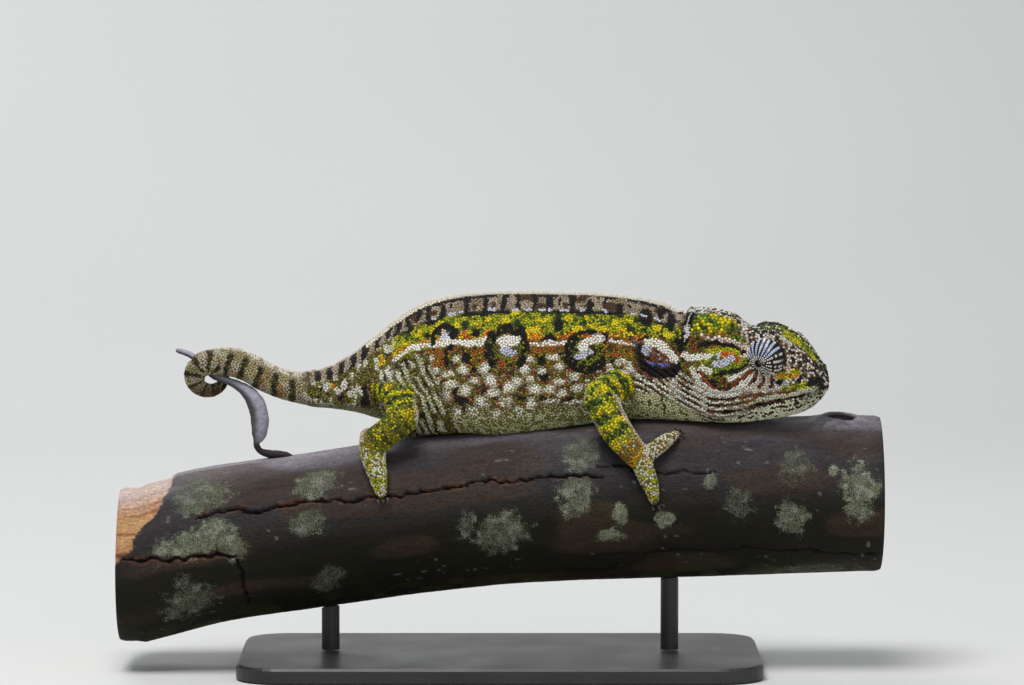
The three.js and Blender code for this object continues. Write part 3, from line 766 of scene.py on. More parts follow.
ORANGE_SPOTS = [
    (-19.4, 7.7, 0.6), (-13.4, 6.8, 0.6), (-6.9, 7.3, 1.0), (-1.9, 7.5, 1.1), (-3.3, 8.1, 0.5),
    (7.6, 8.5, 1.3),
    (14.3, 8.4, 1.1), (19.4, 8.4, 0.7), (23.1, 8.5, 1.0), (30.4, 7.5, 0.9), (28.0, 8.7, 0.6),
]
DARK_BLOTCHES = [
    (-18.0, 3.6, 0.8, 0.7), (-13.8, 3.9, 0.8, 0.6), (-14.5, 6.4, 0.5, 0.8), (-3.1, 3.7, 0.8, 0.7),
    (-4.8, 7.5, 0.8, 0.8),
    (4.4, 7.2, 0.8, 1.0), (11.7, 6.3, 0.9, 1.4), (10.0, 8.8, 1.3, 0.8), (26.9, 8.5, 0.9, 0.5),
    (29.2, 4.2, 1.5, 1.1),
    (27.6, 6.5, 0.9, 0.7), (34.7, 3.2, 1.2, 0.8), (-10.7, 11.7, 0.6, 1.8), (-6.7, 12.1, 1.0, 1.0),
    (-5.2, 14.9, 0.6, 0.5),
    (-14.9, 11.0, 0.6, 0.7), (8.1, 13.4, 0.8, 0.9), (8.7, 16.7, 0.9, 0.9), (23.3, 13.9, 0.9, 0.5),
    (-7.7, 20.8, 1.4, 0.9),
    (-7.2, 22.6, 0.6, 1.0), (-3.0, 18.9, 0.8, 0.6), (-0.6, 20.4, 0.8, 0.5), (1.5, 24.4, 1.0, 0.6),
    (-9.0, 18.9, 0.5, 1.1),
    (4.4, 20.7, 0.8, 0.5), (13.3, 21.4, 1.3, 0.4), (8.6, 21.0, 0.8, 0.5),
]
# Whitish rosettes of the lower flank: place, drop, half length, half height, tilt.
ROSETTES = [
    (-13.6, 11.6, 0.6, 0.7, 0), (-8.6, 12.2, 0.7, 0.7, 0), (5.9, 13.0, 0.9, 0.7, 0),
    (10.6, 12.7, 1.2, 0.6, 0),
    (-15.7, 13.0, 0.8, 1.0, 0), (-12.8, 14.0, 0.8, 0.8, 0), (-10.1, 15.1, 1.3, 0.6, 0),
    (-7.3, 14.4, 1.1, 0.9, 30),
    (-3.2, 14.4, 1.0, 1.2, 40), (5.0, 15.0, 1.1, 0.9, 20), (11.9, 14.7, 1.0, 1.0, 30),
    (15.0, 16.9, 1.2, 0.8, 0),
    (-16.5, 16.1, 0.5, 1.0, 0), (-14.6, 16.7, 1.0, 1.4, 0), (-12.6, 16.3, 0.7, 0.8, 0),
    (-9.8, 17.3, 1.3, 0.9, 0),
    (-5.3, 16.8, 1.2, 0.6, 0), (-1.9, 17.0, 1.4, 1.2, 40), (3.1, 17.3, 1.2, 0.8, -30),
    (6.0, 17.0, 0.9, 0.6, 0),
    (8.3, 15.6, 0.8, 0.6, 0), (11.7, 17.9, 1.4, 0.7, 0), (-16.6, 18.4, 0.8, 1.3, -20),
    (-6.9, 18.6, 1.3, 1.1, 0),
    (-11.2, 19.7, 1.5, 1.3, 0), (-1.4, 19.5, 1.3, 0.8, 0), (1.7, 18.5, 1.3, 1.1, -30),
    (6.9, 19.2, 1.4, 1.0, 0),
    (9.9, 19.3, 1.0, 0.8, 0), (12.3, 20.2, 1.3, 0.8, 0), (15.3, 19.3, 1.2, 0.9, 0),
    (-13.8, 20.9, 0.9, 1.4, -25),
    (-3.6, 21.1, 1.5, 1.0, 20), (1.0, 21.4, 1.6, 1.1, 0), (6.1, 22.1, 1.3, 1.2, 0), (10.4, 21.7, 1.6, 0.5, 0),
    (14.6, 22.3, 1.9, 0.5, 0), (-11.3, 22.6, 1.0, 1.4, -15), (-8.6, 23.4, 1.2, 1.3, 0),
    (-5.4, 23.0, 1.2, 0.9, 0),
    (3.6, 23.3, 1.1, 1.0, 0), (-0.6, 24.0, 1.4, 1.1, 0),
    (21.4, 14.4, 1.4, 0.6, 35), (25.2, 13.9, 1.1, 0.5, 35), (26.4, 15.4, 1.2, 0.5, 15),
]


def lower_flank(paint, p, u, drop, grain):
    """Below the pale line: granular green and rust, then whitish rosettes over brown, then the belly."""
    upper = picked(
        grain, (0.26, LIME * 0.75), (0.22, OLIVE), (0.20, RUST), (0.18, BLACK * 2), (0.14, ORANGE * 0.45)
    )
    between = picked(
        grain, (0.24, RUST * 0.7), (0.26, OLIVE), (0.20, BROWN * 0.5), (0.16, TAN * 0.8), (0.14, LIME * 0.5)
    )
    paint.lay(upper, smooth(9.0, 9.6, drop))
    paint.lay(between, smooth(13.2, 15.2, drop + 1.6 * wobble(p, 2.5, 31)))
    paint.lay(BELLY * (0.75 + 0.5 * noise(p, 0.9, 32)[:, None]), 0.85 * smooth(21.0, 25.2, drop))
    rust_band = smooth(9.6, 10.2, drop) * smooth(12.4, 11.2, drop) * smooth(0.38, 0.62, noise(p, 2.4, 33))
    paint.lay(picked(grain, (0.48, RUST), (0.14, ORANGE * 0.5), (0.18, OLIVE), (0.20, LIME * 0.5)), rust_band)
    low = smooth(19.0, 22.5, drop)
    lumps, which = cells(np.stack([u * 0.8, drop, np.zeros(len(u))], -1), 1.5, 34)
    paint.lay(
        picked(grain, (0.5, OLIVE * 0.7), (0.3, BROWN * 0.7), (0.2, BLACK * 2)),
        low * smooth(0.40, 0.28, lumps) * (which > 0.45)
    )
    for mark in DARK_BLOTCHES:
        paint.spot(BLACK * 1.6, *mark)
    # past the listed ones, rosettes are staggered in rows
    pitch, row_height = 3.1, 2.15
    row = np.floor(drop / row_height)
    shifted = u / pitch + 0.5 * (row % 2) + 0.12 * row
    cell = np.stack([np.floor(shifted), row, np.full(len(u), 4.0)], -1).astype(np.int64)
    dx = (shifted - np.floor(shifted) - 0.5 - 0.22 * (hashed(cell, 1) - 0.5)) * pitch
    dy = drop - (row + 0.5) * row_height - 0.5 * (hashed(cell, 2) - 0.5)
    size = 0.75 + 0.4 * hashed(cell, 3)
    listed = ((u > -17.5) & (u < 17.0) & (drop < 24.0)) | (u > 27)
    spot = smooth(1.1, 0.85, np.hypot(dx / (1.15 * size), dy / (0.85 * size)))
    paint.lay(PALE, np.where(listed | (drop < 13.5) | (u < -17), 0, spot) * smooth(31, 28, drop))
    surround = picked(grain, (0.5, PALE * 0.6), (0.3, TAN), (0.2, RUST * 0.8))
    for x, y, half, tall, tilt in ROSETTES:
        paint.spot(surround, x, y, 1.2 * half, 1.2 * tall, tilt)
        paint.spot(PALE * 1.05, x, y, 0.88 * half, 0.88 * tall, tilt)
        paint.spot(WHITE * 0.95, x + 0.1, y - 0.1, 0.55 * half, 0.5 * tall, tilt)
    paint.lay(BELLY * np.array([0.70, 0.74, 0.42]), 0.55 * smooth(22.0, 25.5, drop))
    specks = picked(grain, (0.15, OLIVE), (0.12, BROWN), (0.73, BELLY))
    paint.lay(specks, np.where((grain < 0.27) & (drop > 21), 0.8, 0))


def thigh_folds(paint, p, u, drop, grain):
    """Slanting pale folds in front of the thigh, with dark between them: the skin's own olive and brown, and
    black lines of painted shadow in the creases.
    """
    slant = u - 0.42 * (drop - 9) + 1.5 * wobble(p, 2.6, 41)
    wave = (slant / 1.65) % 1
    broken = noise(np.stack([np.floor(slant / 1.65) * 7, drop, u * 0.2], -1), 2.0, 42)
    here = smooth(-25.5, -23.0, u) * smooth(-14.4, -16.2, slant) * smooth(9.2, 10.4, drop)
    paint.lay(picked(grain, (0.45, OLIVE), (0.25, BROWN * 0.6), (0.20, TAN * 0.6), (0.10, LIME * 0.6)), here)
    # black lines of painted shadow in the creases between the folds
    paint.lay(
        BLACK * 1.6, here * smooth(0.30, 0.16, np.abs(wave - 0.02)) * smooth(0.45, 0.60, noise(p, 1.8, 44))
    )
    pale = here * smooth(0.22, 0.34, wave) * smooth(0.90, 0.78, wave) * smooth(0.42, 0.50, broken)
    paint.lay(picked(grain, (0.7, PALE * 0.95), (0.3, BELLY)), pale)


def green_band(paint, p, drop, grain):
    """The band along the upper flank, with its yellow and orange spots."""
    base = picked(grain, (0.50, LIME), (0.24, GREEN), (0.16, YELLOW * 0.7), (0.10, DARK_GREEN))
    paint.lay(base, smooth(3.0, 3.6, drop))
    paint.lay(DARK_GREEN, smooth(3.0, 3.6, drop) * smooth(0.64, 0.74, noise(p, 1.7, 51)))
    orange = smooth(6.9, 7.6, drop) * smooth(0.40, 0.58, noise(p, 1.9, 52))
    paint.lay(picked(grain, (0.36, ORANGE), (0.24, RUST), (0.22, YELLOW), (0.18, OLIVE)), orange)
    for mark in YELLOW_SPOTS:
        paint.spot(YELLOW, *mark)
    for mark in ORANGE_SPOTS:
        paint.spot(picked(grain, (0.6, ORANGE), (0.2, RUST), (0.2, YELLOW)), *mark, 0.5)


def back_band(paint, p, drop):
    """The mottled band under the crest, with its dark bars and pale dashes."""
    mauve = MAUVE * (0.65 + 0.7 * noise(p, 0.9, 61))[:, None]
    mottled = blend(mauve, TAN * 0.6, 0.8 * smooth(0.48, 0.60, noise(p, 1.6, 64)))
    paint.lay(mottled, smooth(3.5, 3.0, drop))
    paint.lay(BROWN * 0.8, smooth(3.5, 3.0, drop) * smooth(0.58, 0.66, noise(p, 1.3, 62)))
    gap = smooth(3.2, 3.5, drop) * smooth(4.3, 3.9, drop)
    paint.lay(BLACK, gap * smooth(0.36, 0.50, noise(p, 3.2, 63)))
    dark = picked(paint.chance, (0.8, BLACK * 1.3), (0.2, BROWN * 0.6))
    for x, half, top, bottom in BACK_BARS:
        paint.stroke(dark, 0.92 * half, (x, top + 0.4 * half), (x - 0.2, bottom - 0.4 * half))
    for x, half in BACK_DASHES:
        paint.spot(LAVENDER * 0.9, x, 3.25, half, 0.34)
    edge = smooth(0.30, 0.45, drop) * smooth(1.05, 0.75, drop)
    paint.lay(BLACK, edge * smooth(0.30, 0.42, noise(p, 1.2, 65)))


def eyespots(paint, grain):
    """Three of the four pale-centred spots along the flank: the fourth is on the neck."""
    dark = picked(grain, (0.80, BLACK), (0.12, OLIVE), (0.08, LIME * 0.6))
    paint.ring(BLACK, -11.1, 8.0, 2.45, 2.7, 0.55, 180, 360)
    paint.spot(BLACK, -13.3, 7.9, 0.8, 0.8)
    paint.spot(BLACK, -9.3, 7.4, 0.7, 1.1)
    paint.spot(BLACK, -9.7, 9.9, 0.7, 0.8)
    paint.spot(WHITE, -11.1, 8.5, 1.5, 0.95)
    paint.spot(LAVENDER, -10.9, 7.4, 1.0, 0.6)
    paint.spot(PINK, -11.1, 6.4, 0.5, 0.5)

    paint.spot(OLIVE, 1.4, 11.4, 3.1, 3.4)
    paint.spot(picked(grain, (0.5, LIME * 0.6), (0.3, RUST), (0.2, BLACK)), 1.2, 13.0, 2.3, 1.4)
    paint.ring(dark, 1.4, 11.0, 3.6, 4.1, 0.85, 130, 420)
    paint.spot(BLACK, -1.3, 8.2, 1.3, 0.8, 20)
    paint.spot(BLACK, 4.4, 8.0, 0.85, 1.5)
    paint.spot(WHITE, 1.7, 9.2, 2.5, 1.2)
    paint.spot(LAVENDER, 0.9, 10.9, 1.0, 0.6)
    paint.spot(LAVENDER * 0.85, 1.8, 11.7, 1.4, 0.55)
    paint.spot(RUST, 0.4, 13.6, 0.9, 0.4)

    paint.spot(picked(grain, (0.4, OLIVE), (0.3, LIME * 0.6), (0.3, BLACK)), 17.6, 12.2, 3.4, 3.0)
    paint.ring(dark, 17.5, 11.9, 4.0, 3.7, 0.95, 20, 250)
    paint.ring(BLACK, 17.6, 11.6, 4.2, 3.9, 0.55, 235, 305)
    paint.spot(BLACK, 20.9, 8.7, 1.1, 0.8)
    paint.stroke(WHITE, 1.0, (16.3, 11.1), (18.2, 9.9), (19.9, 9.0))
    paint.spot(LAVENDER, 16.2, 12.7, 1.4, 0.75, -10)
    paint.spot(LAVENDER, 18.0, 11.9, 0.9, 0.5)
    paint.spot(BROWN, 18.2, 10.9, 0.7, 0.25)


def rump_colours(p, u, height, grain):
    """Behind the pale line, and on the tail's root: pale upright spots, black and yellow ones, and squares at
    the crest."""
    z = p[:, 2]
    colour = picked(
        grain, (0.42, OLIVE * 1.2), (0.15, LIME * 0.5), (0.19, BROWN), (0.06, BLACK * 2), (0.18, TAN * 0.6)
    )
    flat = np.stack([u, np.zeros(len(u)), z], -1) + 0.5 * (noise(p, 1.0, 131)[:, None] - 0.5)
    dark = cells(flat * np.array([1.0, 1.0, 0.8]), 3.3, 132)
    colour = blend(colour, BLACK * 1.5, smooth(0.34, 0.26, dark[0]) * (dark[1] > 0.35))
    bright = cells(flat, 2.4, 133)
    yellow = picked(grain, (0.6, YELLOW * 0.9), (0.4, ORANGE * 0.8))
    colour = blend(
        colour, yellow, smooth(0.32, 0.24, bright[0]) * (bright[1] > 0.45) * smooth(0.45, 0.60, height)
    )
    pale = cells(flat * np.array([1.35, 1.0, 0.9]), 1.85, 134)
    spot = smooth(0.50, 0.40, pale[0]) * (pale[1] > 0.12)
    colour = blend(colour, picked(grain, (0.6, WHITE * 0.75), (0.4, PALE)), spot * smooth(0.10, 0.22, height))
    colour = blend(colour, BELLY * 0.8, 0.6 * smooth(0.22, 0.08, height))
    rise = (1 - height) * curve(u, (-42, 6.5), (-32, 9.5), (-24, 16.0), (-18, 23.0))
    along = (u + 24.6) / 2.35
    squares = smooth(0.30, 0.20, np.abs(along - np.round(along)) + 0.25 * wobble(p, 1.2, 135))
    return blend(colour, blend(MAUVE, BLACK * 1.6, squares), smooth(1.9, 1.5, rise))


def trunk_colours(p, q, grain):
    """Colours of charted points q of the trunk. The left flank has the same marks, a little out of line."""
    height = rib_frame(q)[1]
    left = smooth(-0.4, 0.4, q[:, 1])
    shift = left * (1.5 + 2.0 * wobble(p, 9.0, 71))
    u, drop = q[:, 0] + shift, (1 - height) * TRUNK_DEPTH
    paint = Paint(p, u, drop, 72)
    lower_flank(paint, p, u, drop, grain)
    thigh_folds(paint, p, u, drop, grain)
    green_layer = Paint(p, u, drop, 72)
    green_band(green_layer, p, drop, grain)
    back_band(green_layer, p, drop)
    paint.lay(green_layer.colour, smooth(9.6, 9.0, drop + 0.5 * wobble(p, 1.4, 73)))
    for mark in DARK_BLOTCHES[:12]:
        paint.spot(BLACK * 1.3, *mark)
    paint.stroke(WHITE, 0.55, (-21.2, 9.6), (-19.8, 8.8), (-18.4, 8.1), (-16.5, 8.2), (-12.4, 8.6))
    paint.stroke(WHITE, 0.62, (-9.4, 8.8), (-7.0, 9.2), (-4.5, 9.3), (-2.4, 8.8))
    paint.stroke(WHITE * 0.92 + PINK * 0.08, 0.42, (4.6, 9.9), (6.5, 10.1), (9.5, 10.0), (13.2, 9.9))
    paint.stroke(WHITE * 0.6 + PINK * 0.4, 0.36, (21.8, 9.5), (25.5, 9.7), (28.4, 9.9))
    eyespots(paint, grain)
    behind = smooth(-20.4, -22.6, u + 1.2 * wobble(p, 1.8, 74))
    folded = smooth(13.0, 15.5, drop) * smooth(-25.0, -22.5, u)
    paint.lay(rump_colours(p, u, height, grain), behind * (1 - folded))
    paint.lay(CREAM, smooth(0.35, 0.15, drop) * (drop < 0.5))
    return paint.colour


# ---- The head's and neck's markings: millimetres along the unbent spine, and height ----

CANTHUS = (
    (52.2, 69.2), (54.8, 69.0), (56.9, 68.4), (58.7, 67.4), (59.9, 66.4), (61.6, 65.1), (63.1, 64.0),
    (64.2, 62.8), (65.6, 60.0),
)
MOUTH = ((45.5, 52.3), (49.2, 53.0), (52.7, 54.3), (56.1, 55.0), (59.7, 55.6), (62.6, 56.4), (65.5, 57.2))
CASQUE_RIM = (
    (37.9, 66.6), (38.2, 68.4), (38.4, 70.0), (38.8, 71.4), (39.4, 72.4), (40.8, 73.1), (43.8, 73.0),
    (46.9, 72.3),
    (48.8, 71.5), (50.2, 70.4), (51.8, 69.4),
)
# Where the pale folds of the throat begin, from the neck to the corner of the mouth.
FOLD_LINE = (
    (27.0, 61.6), (28.8, 60.7), (31.4, 59.3), (36.4, 56.0), (40.8, 53.6), (44.3, 52.4), (47.7, 52.7),
    (51.2, 54.0),
)
FOLD_PITCH = 1.28
# Places along the crown, and half sizes, of the casque's yellow scales.
YELLOW_TUBERCLES = [
    (45.3, 70.6, 0.85), (41.4, 70.5, 0.55), (43.8, 71.7, 0.6), (46.8, 70.3, 0.6), (44.9, 68.6, 0.6),
    (43.2, 69.0, 0.5),
    (48.3, 69.9, 0.5), (40.5, 69.4, 0.5), (42.7, 70.2, 0.45), (39.3, 69.0, 0.4), (50.0, 68.9, 0.4),
]
PUPIL = (53.6, 63.2)


def neck_marks(paint, p, u, z, grain):
    """The pale folds that sweep under the jaw, and the speckled throat."""
    jaw_line = curve(u, *FOLD_LINE, (56.1, 55.0), (60.9, 56.1), (66.0, 57.0))
    depth = jaw_line - z + 0.5 * wobble(p, 2.6, 81)
    throat = smooth(-0.6, 0.8, depth)
    pale = blend(BELLY * 1.35, PALE * 1.4, 0.85 * smooth(36.0, 48.0, u))
    pale = pale * (0.8 + 0.45 * noise(p, 0.8, 82))[:, None]
    speck = cells(np.stack([u * 0.75, np.zeros(len(u)), depth * 1.35], -1), 1.0, 83)[0]
    here = throat * smooth(24, 30, u)
    paint.lay(pale, here)
    paint.lay(picked(grain, (0.6, BLACK * 2), (0.4, OLIVE * 0.6)), here * smooth(0.34, 0.25, speck))
    rows = depth / 0.95
    along = noise(np.stack([u * 0.55, np.zeros(len(u)), np.floor(rows) * 9], -1), 1.0, 85)
    dash = throat * smooth(0.44, 0.52, rows % 1) * smooth(1.0, 0.92, rows % 1) * smooth(0.42, 0.50, along)
    dark = picked(grain, (0.6, BLACK * 1.4), (0.3, BROWN * 0.8), (0.1, OLIVE))
    paint.lay(dark, dash * smooth(38, 42, u) * smooth(3.4, 2.6, depth))
    # folds alternate pale and dark above the line and a little below it
    wave = ((depth + 6.3) / FOLD_PITCH) % 1
    reach = curve(u, (24, 5.0), (28.4, 4.3), (32, 2.9), (37.1, 1.4), (41, 0.9))
    here = smooth(-5.4, -4.6, depth) * smooth(reach + 0.7, reach - 0.4, depth)
    here = here * smooth(25.0, 27.5, u) * smooth(52, 47.5, u)
    paint.lay(picked(grain, (0.55, WHITE * 0.85), (0.30, PALE), (0.15, TAN)), here)
    torn = smooth(0.20, 0.32, noise(np.stack([u, np.zeros(len(u)), depth * 0.4], -1), 1.6, 86))
    wave = wave + 0.12 * wobble(p, 1.3, 84)
    dark = picked(grain, (0.24, RUST * 0.6), (0.44, BLACK * 1.5), (0.32, BROWN))
    paint.lay(dark, here * torn * smooth(0.42, 0.54, wave) * smooth(1.04, 0.92, wave))


def front_eyespot(paint, grain):
    """The fourth of the pale-centred spots."""
    paint.spot(picked(grain, (0.45, BROWN), (0.3, RUST * 0.7), (0.25, BLACK)), 31.6, 62.6, 5.2, 3.6, -12)
    paint.stroke(
        BLACK, 0.95, (27.6, 65.4), (27.9, 63.6), (29.6, 61.4), (32.4, 60.2), (35.4, 60.2), (36.4, 61.6)
    )
    paint.stroke(BLACK, 0.35, (28.6, 66.6), (30.6, 67.4))
    paint.stroke(BLACK, 0.7, (36.3, 66.6), (37.4, 65.0))
    paint.stroke(WHITE, 0.88, (30.0, 66.1), (32.4, 65.9), (34.0, 64.8), (36.0, 63.1))
    paint.spot(LAVENDER * 0.9, 30.0, 64.6, 1.2, 0.8, -10)
    paint.spot(picked(grain, (0.4, RUST), (0.3, BROWN), (0.3, LAVENDER * 0.6)), 32.8, 63.2, 1.9, 0.8, -20)
    paint.stroke(BLUE, 0.42, (30.6, 62.1), (31.6, 61.9))
    paint.stroke(BLUE, 0.42, (32.9, 61.8), (34.0, 61.8))


def temple_marks(paint, grain):
    """Behind the eye: the pale ridge, the band under it, and the pale and rusty marks down to the jaw."""
    paint.ring(WHITE * 0.85, 45.6, 62.6, 5.9, 6.2, 0.55, 185, 350)
    paint.ring(picked(grain, (0.5, RUST * 0.8), (0.5, BLACK)), 45.6, 62.6, 4.8, 5.1, 0.42, 190, 330)
    paint.spot(picked(grain, (0.35, GREEN), (0.35, LIME), (0.3, OLIVE)), 45.6, 62.6, 4.6, 2.8)
    paint.stroke(
        PINK * 0.5 + WHITE * 0.5, 0.42, (41.5, 67.7), (44.9, 67.3), (47.9, 66.6), (50.0, 65.3), (51.6, 63.8)
    )
    paint.stroke(BLACK, 0.48, (41.0, 66.1), (44.0, 66.6), (46.9, 65.7), (49.6, 64.4), (51.2, 62.7))
    paint.stroke(picked(grain, (0.7, LIME), (0.3, YELLOW)), 0.6, (42.7, 64.9), (46.4, 65.0), (48.6, 64.3))
    paint.stroke(
        picked(grain, (0.6, RUST * 1.3), (0.4, ORANGE)), 0.6, (45.6, 64.3), (47.9, 63.6), (49.0, 62.9)
    )
    paint.stroke(LAVENDER, 0.62, (44.0, 62.3), (46.0, 62.6), (47.3, 63.5))
    paint.spot(LAVENDER, 44.8, 64.0, 0.6, 0.5)
    paint.stroke(WHITE, 0.6, (37.8, 64.3), (39.1, 63.4))
    paint.stroke(WHITE, 0.68, (39.9, 63.7), (41.6, 63.7), (43.0, 64.0))
    paint.spot(PINK * 0.4 + WHITE * 0.6, 49.8, 63.7, 0.6, 0.6)
    paint.stroke(BLACK, 0.45, (44.4, 60.1), (47.5, 60.9), (50.1, 62.2))
    paint.stroke(picked(grain, (0.6, GREEN), (0.4, LIME)), 0.42, (44.8, 61.4), (47.9, 61.8), (50.0, 62.6))
    paint.stroke(BLACK, 0.40, (41.9, 58.9), (44.3, 58.9))
    paint.stroke(RUST, 0.38, (41.0, 60.2), (43.0, 58.0))
    paint.stroke(WHITE * 0.95, 0.50, (39.3, 61.3), (40.7, 59.8))
    paint.stroke(WHITE * 0.95, 0.52, (41.3, 61.4), (43.3, 60.8))
    paint.stroke(WHITE * 0.95, 0.50, (46.9, 59.4), (48.9, 60.1), (50.8, 61.2))
    paint.stroke(RUST * 0.6, 0.45, (47.2, 57.9), (49.9, 59.8), (52.0, 61.4))


def spokes(angle):
    """1 on the fifteen dark stripes that spread from the pupil, 0 between them."""
    wave = (angle / 360 * 15 + 0.625) % 1
    return smooth(0.50, 0.60, wave) * smooth(1.0, 0.92, wave)


def face_marks(paint, p, u, z, grain):
    """Round and in front of the eye."""
    dx, dz = u - PUPIL[0], z - PUPIL[1]
    angle, reach = np.degrees(np.arctan2(dz, dx)) % 360, np.hypot(dx, dz)
    around = smooth(50.6, 52.0, u + 0.25 * (z - 60)) * smooth(54.6, 55.6, z)
    pinkish = WHITE * 0.30 + PINK * 0.28 + MAUVE * 0.2
    chequer = picked(grain, (0.33, BLACK * 1.4), (0.17, BROWN * 1.2), (0.34, pinkish), (0.16, WHITE * 0.8))
    paint.lay(chequer, around)
    below = (
        smooth(205, 215, angle) * smooth(330, 318, angle) * smooth(7.4, 6.4, reach) * smooth(54.8, 55.6, z)
    )
    paint.lay(picked(grain, (0.55, WHITE * 0.85), (0.25, PALE), (0.20, pinkish)), below)
    dark = below * spokes(angle + 5 * np.sin(reach * 1.3)) * smooth(6.4, 5.6, reach)
    paint.lay(picked(grain, (0.6, BLACK * 1.3), (0.4, RUST * 0.6)), dark)
    yellowish = picked(grain, (0.34, YELLOW), (0.26, ORANGE), (0.24, LIME), (0.16, GREEN))
    paint.stroke(yellowish, 0.75, (56.9, 60.0), (58.4, 60.0), (60.4, 60.7))
    paint.spot(ORANGE, 57.4, 59.9, 0.6, 0.4)
    paint.spot(PINK * 0.5 + WHITE * 0.5, 58.9, 61.2, 0.5, 0.5)
    paint.stroke(
        picked(grain, (0.5, LIME), (0.25, OLIVE), (0.25, YELLOW)), 0.6, (57.8, 57.2), (60.8, 57.7),
        (62.0, 58.0)
    )
    paint.spot(BLACK, 57.0, 58.6, 0.8, 0.6)
    paint.spot(BLACK, 60.9, 59.3, 0.8, 0.5)
    paint.stroke(WHITE * 0.9, 0.38, (58.4, 58.8), (59.8, 58.8))
    paint.stroke(
        picked(grain, (0.5, RUST * 0.6), (0.5, BROWN)), 0.28, (46.4, 55.0), (49.8, 55.8), (53.7, 56.4),
        (56.4, 56.6)
    )
    paint.spot(picked(grain, (0.7, BLACK * 1.6), (0.3, BROWN * 0.5)), 63.8, 57.7, 1.5, 2.0, -20)
    lower = curve(u, (45.0, 52.6), (49.2, 53.2), (52.7, 54.5), (56.1, 55.0), (59.7, 55.4), (66, 56.6))
    upper = curve(u, (45.0, 52.6), (52.7, 54.5), (59.7, 55.4), (66, 56.6))
    lip = smooth(0.15, 0.35, z - lower) * smooth(1.7, 1.3, z - upper)
    paint.lay(PALE * 1.1, lip * smooth(49, 51, u) * smooth(64.6, 63.6, u) * 0.85)
    paint.stroke(picked(grain, (0.6, BLACK * 1.5), (0.4, RUST * 0.5)), 0.26, *MOUTH[:-1])
    over = paint.off_line(((46.6, 53.9), (50.0, 54.6), (53.4, 55.9), (56.6, 56.5), (60.4, 57.0)))
    broken = smooth(0.32, 0.2, over) * smooth(0.42, 0.52, noise(p, 1.6, 87))
    paint.lay(picked(grain, (0.5, RUST * 0.6), (0.5, BROWN)), broken)
    off_patch = np.hypot((u - 63.8) / 1.5, (z - 57.7) / 2.0)
    snout = smooth(63.4, 64.6, u) * smooth(55.5, 57.0, z) * smooth(0.9, 1.3, off_patch)
    paint.lay(picked(grain, (0.5, BLACK * 1.3), (0.32, WHITE * 0.85), (0.18, BROWN)), snout)
    muzzle = smooth(57.0, 55.0, z) * smooth(61.0, 62.5, u)
    paint.lay(picked(grain, (0.30, BLACK * 1.3), (0.45, PALE), (0.25, BELLY)), muzzle)


def crown_marks(paint, u, z, grain):
    """The casque's green side with its yellow scales."""
    green = picked(grain, (0.34, LIME), (0.40, GREEN), (0.26, DARK_GREEN))
    casque = smooth(67.2, 68.2, z + 0.35 * (u - 45) * (u > 45)) * smooth(37.4, 38.4, u)
    paint.lay(green, casque)
    for x, y, half in YELLOW_TUBERCLES:
        paint.spot(YELLOW, x, y, half, 0.85 * half)
    foot = casque * smooth(67.4, 67.8, z) * smooth(68.8, 68.2, z)
    paint.lay(picked(grain, (0.5, RUST * 0.7), (0.5, OLIVE)), foot * 0.7)


def top_marks(paint, p, u, side, z, grain):
    """The head's flat top: green behind, and yellow-green on the snout between its ridges."""
    off = np.abs(side)
    crown = smooth(3.0, 2.2, off) * smooth(51.5, 49.5, u) * smooth(38.0, 39.0, u) * smooth(68.5, 69.5, z)
    paint.lay(
        picked(grain, (0.45, BLACK * 1.5), (0.30, MAUVE * 1.3), (0.15, OLIVE), (0.10, WHITE * 0.8)), crown
    )
    paint.lay(WHITE * 0.7, crown * smooth(0.56, 0.64, noise(p, 1.6, 97)))
    width = curve(u, (50, 3.0), (57, 2.9), (62, 2.2), (65, 1.2))
    top = smooth(width, width - 0.5, off) * smooth(50.0, 51.5, u) * smooth(60.5, 62.5, z)
    mixed = picked(grain, (0.30, BLACK * 1.4), (0.30, GREEN), (0.22, OLIVE), (0.18, PALE))
    yellow = picked(grain, (0.45, LIME), (0.35, YELLOW * 0.85), (0.20, GREEN))
    lit = smooth(56.2, 57.6, u) * smooth(64.2, 63.0, u) * smooth(0.34, 0.46, noise(p, 1.8, 96))
    paint.lay(blend(mixed, yellow, lit), top)
    slope = top * smooth(width - 1.25, width - 0.95, off) * smooth(52.0, 54.0, u)
    paint.lay(picked(grain, (0.78, BLACK * 1.3), (0.12, MAUVE), (0.10, WHITE * 0.8)), slope)


def far_rise(u, side):
    """How much higher the far brow and snout stand."""
    rise = curve(u, (50, 0.5), (54, 0.5), (57, 1.0), (60, 1.6), (66, 1.6))
    return rise * smooth(50.8, 54.5, u) * smooth(-1.2, 2.0, side)


def edge_bars(paint, p, u, ridge):
    """Black and white bars where ridge is near 1."""
    here = smooth(0.45, 0.6, ridge)
    wave = (u / 1.15 + 0.7 * wobble(p, 1.5, 95)) % 1
    paint.lay(WHITE * 0.85, here)
    paint.lay(BLACK, here * smooth(0.42, 0.52, wave) * smooth(1.0, 0.90, wave))


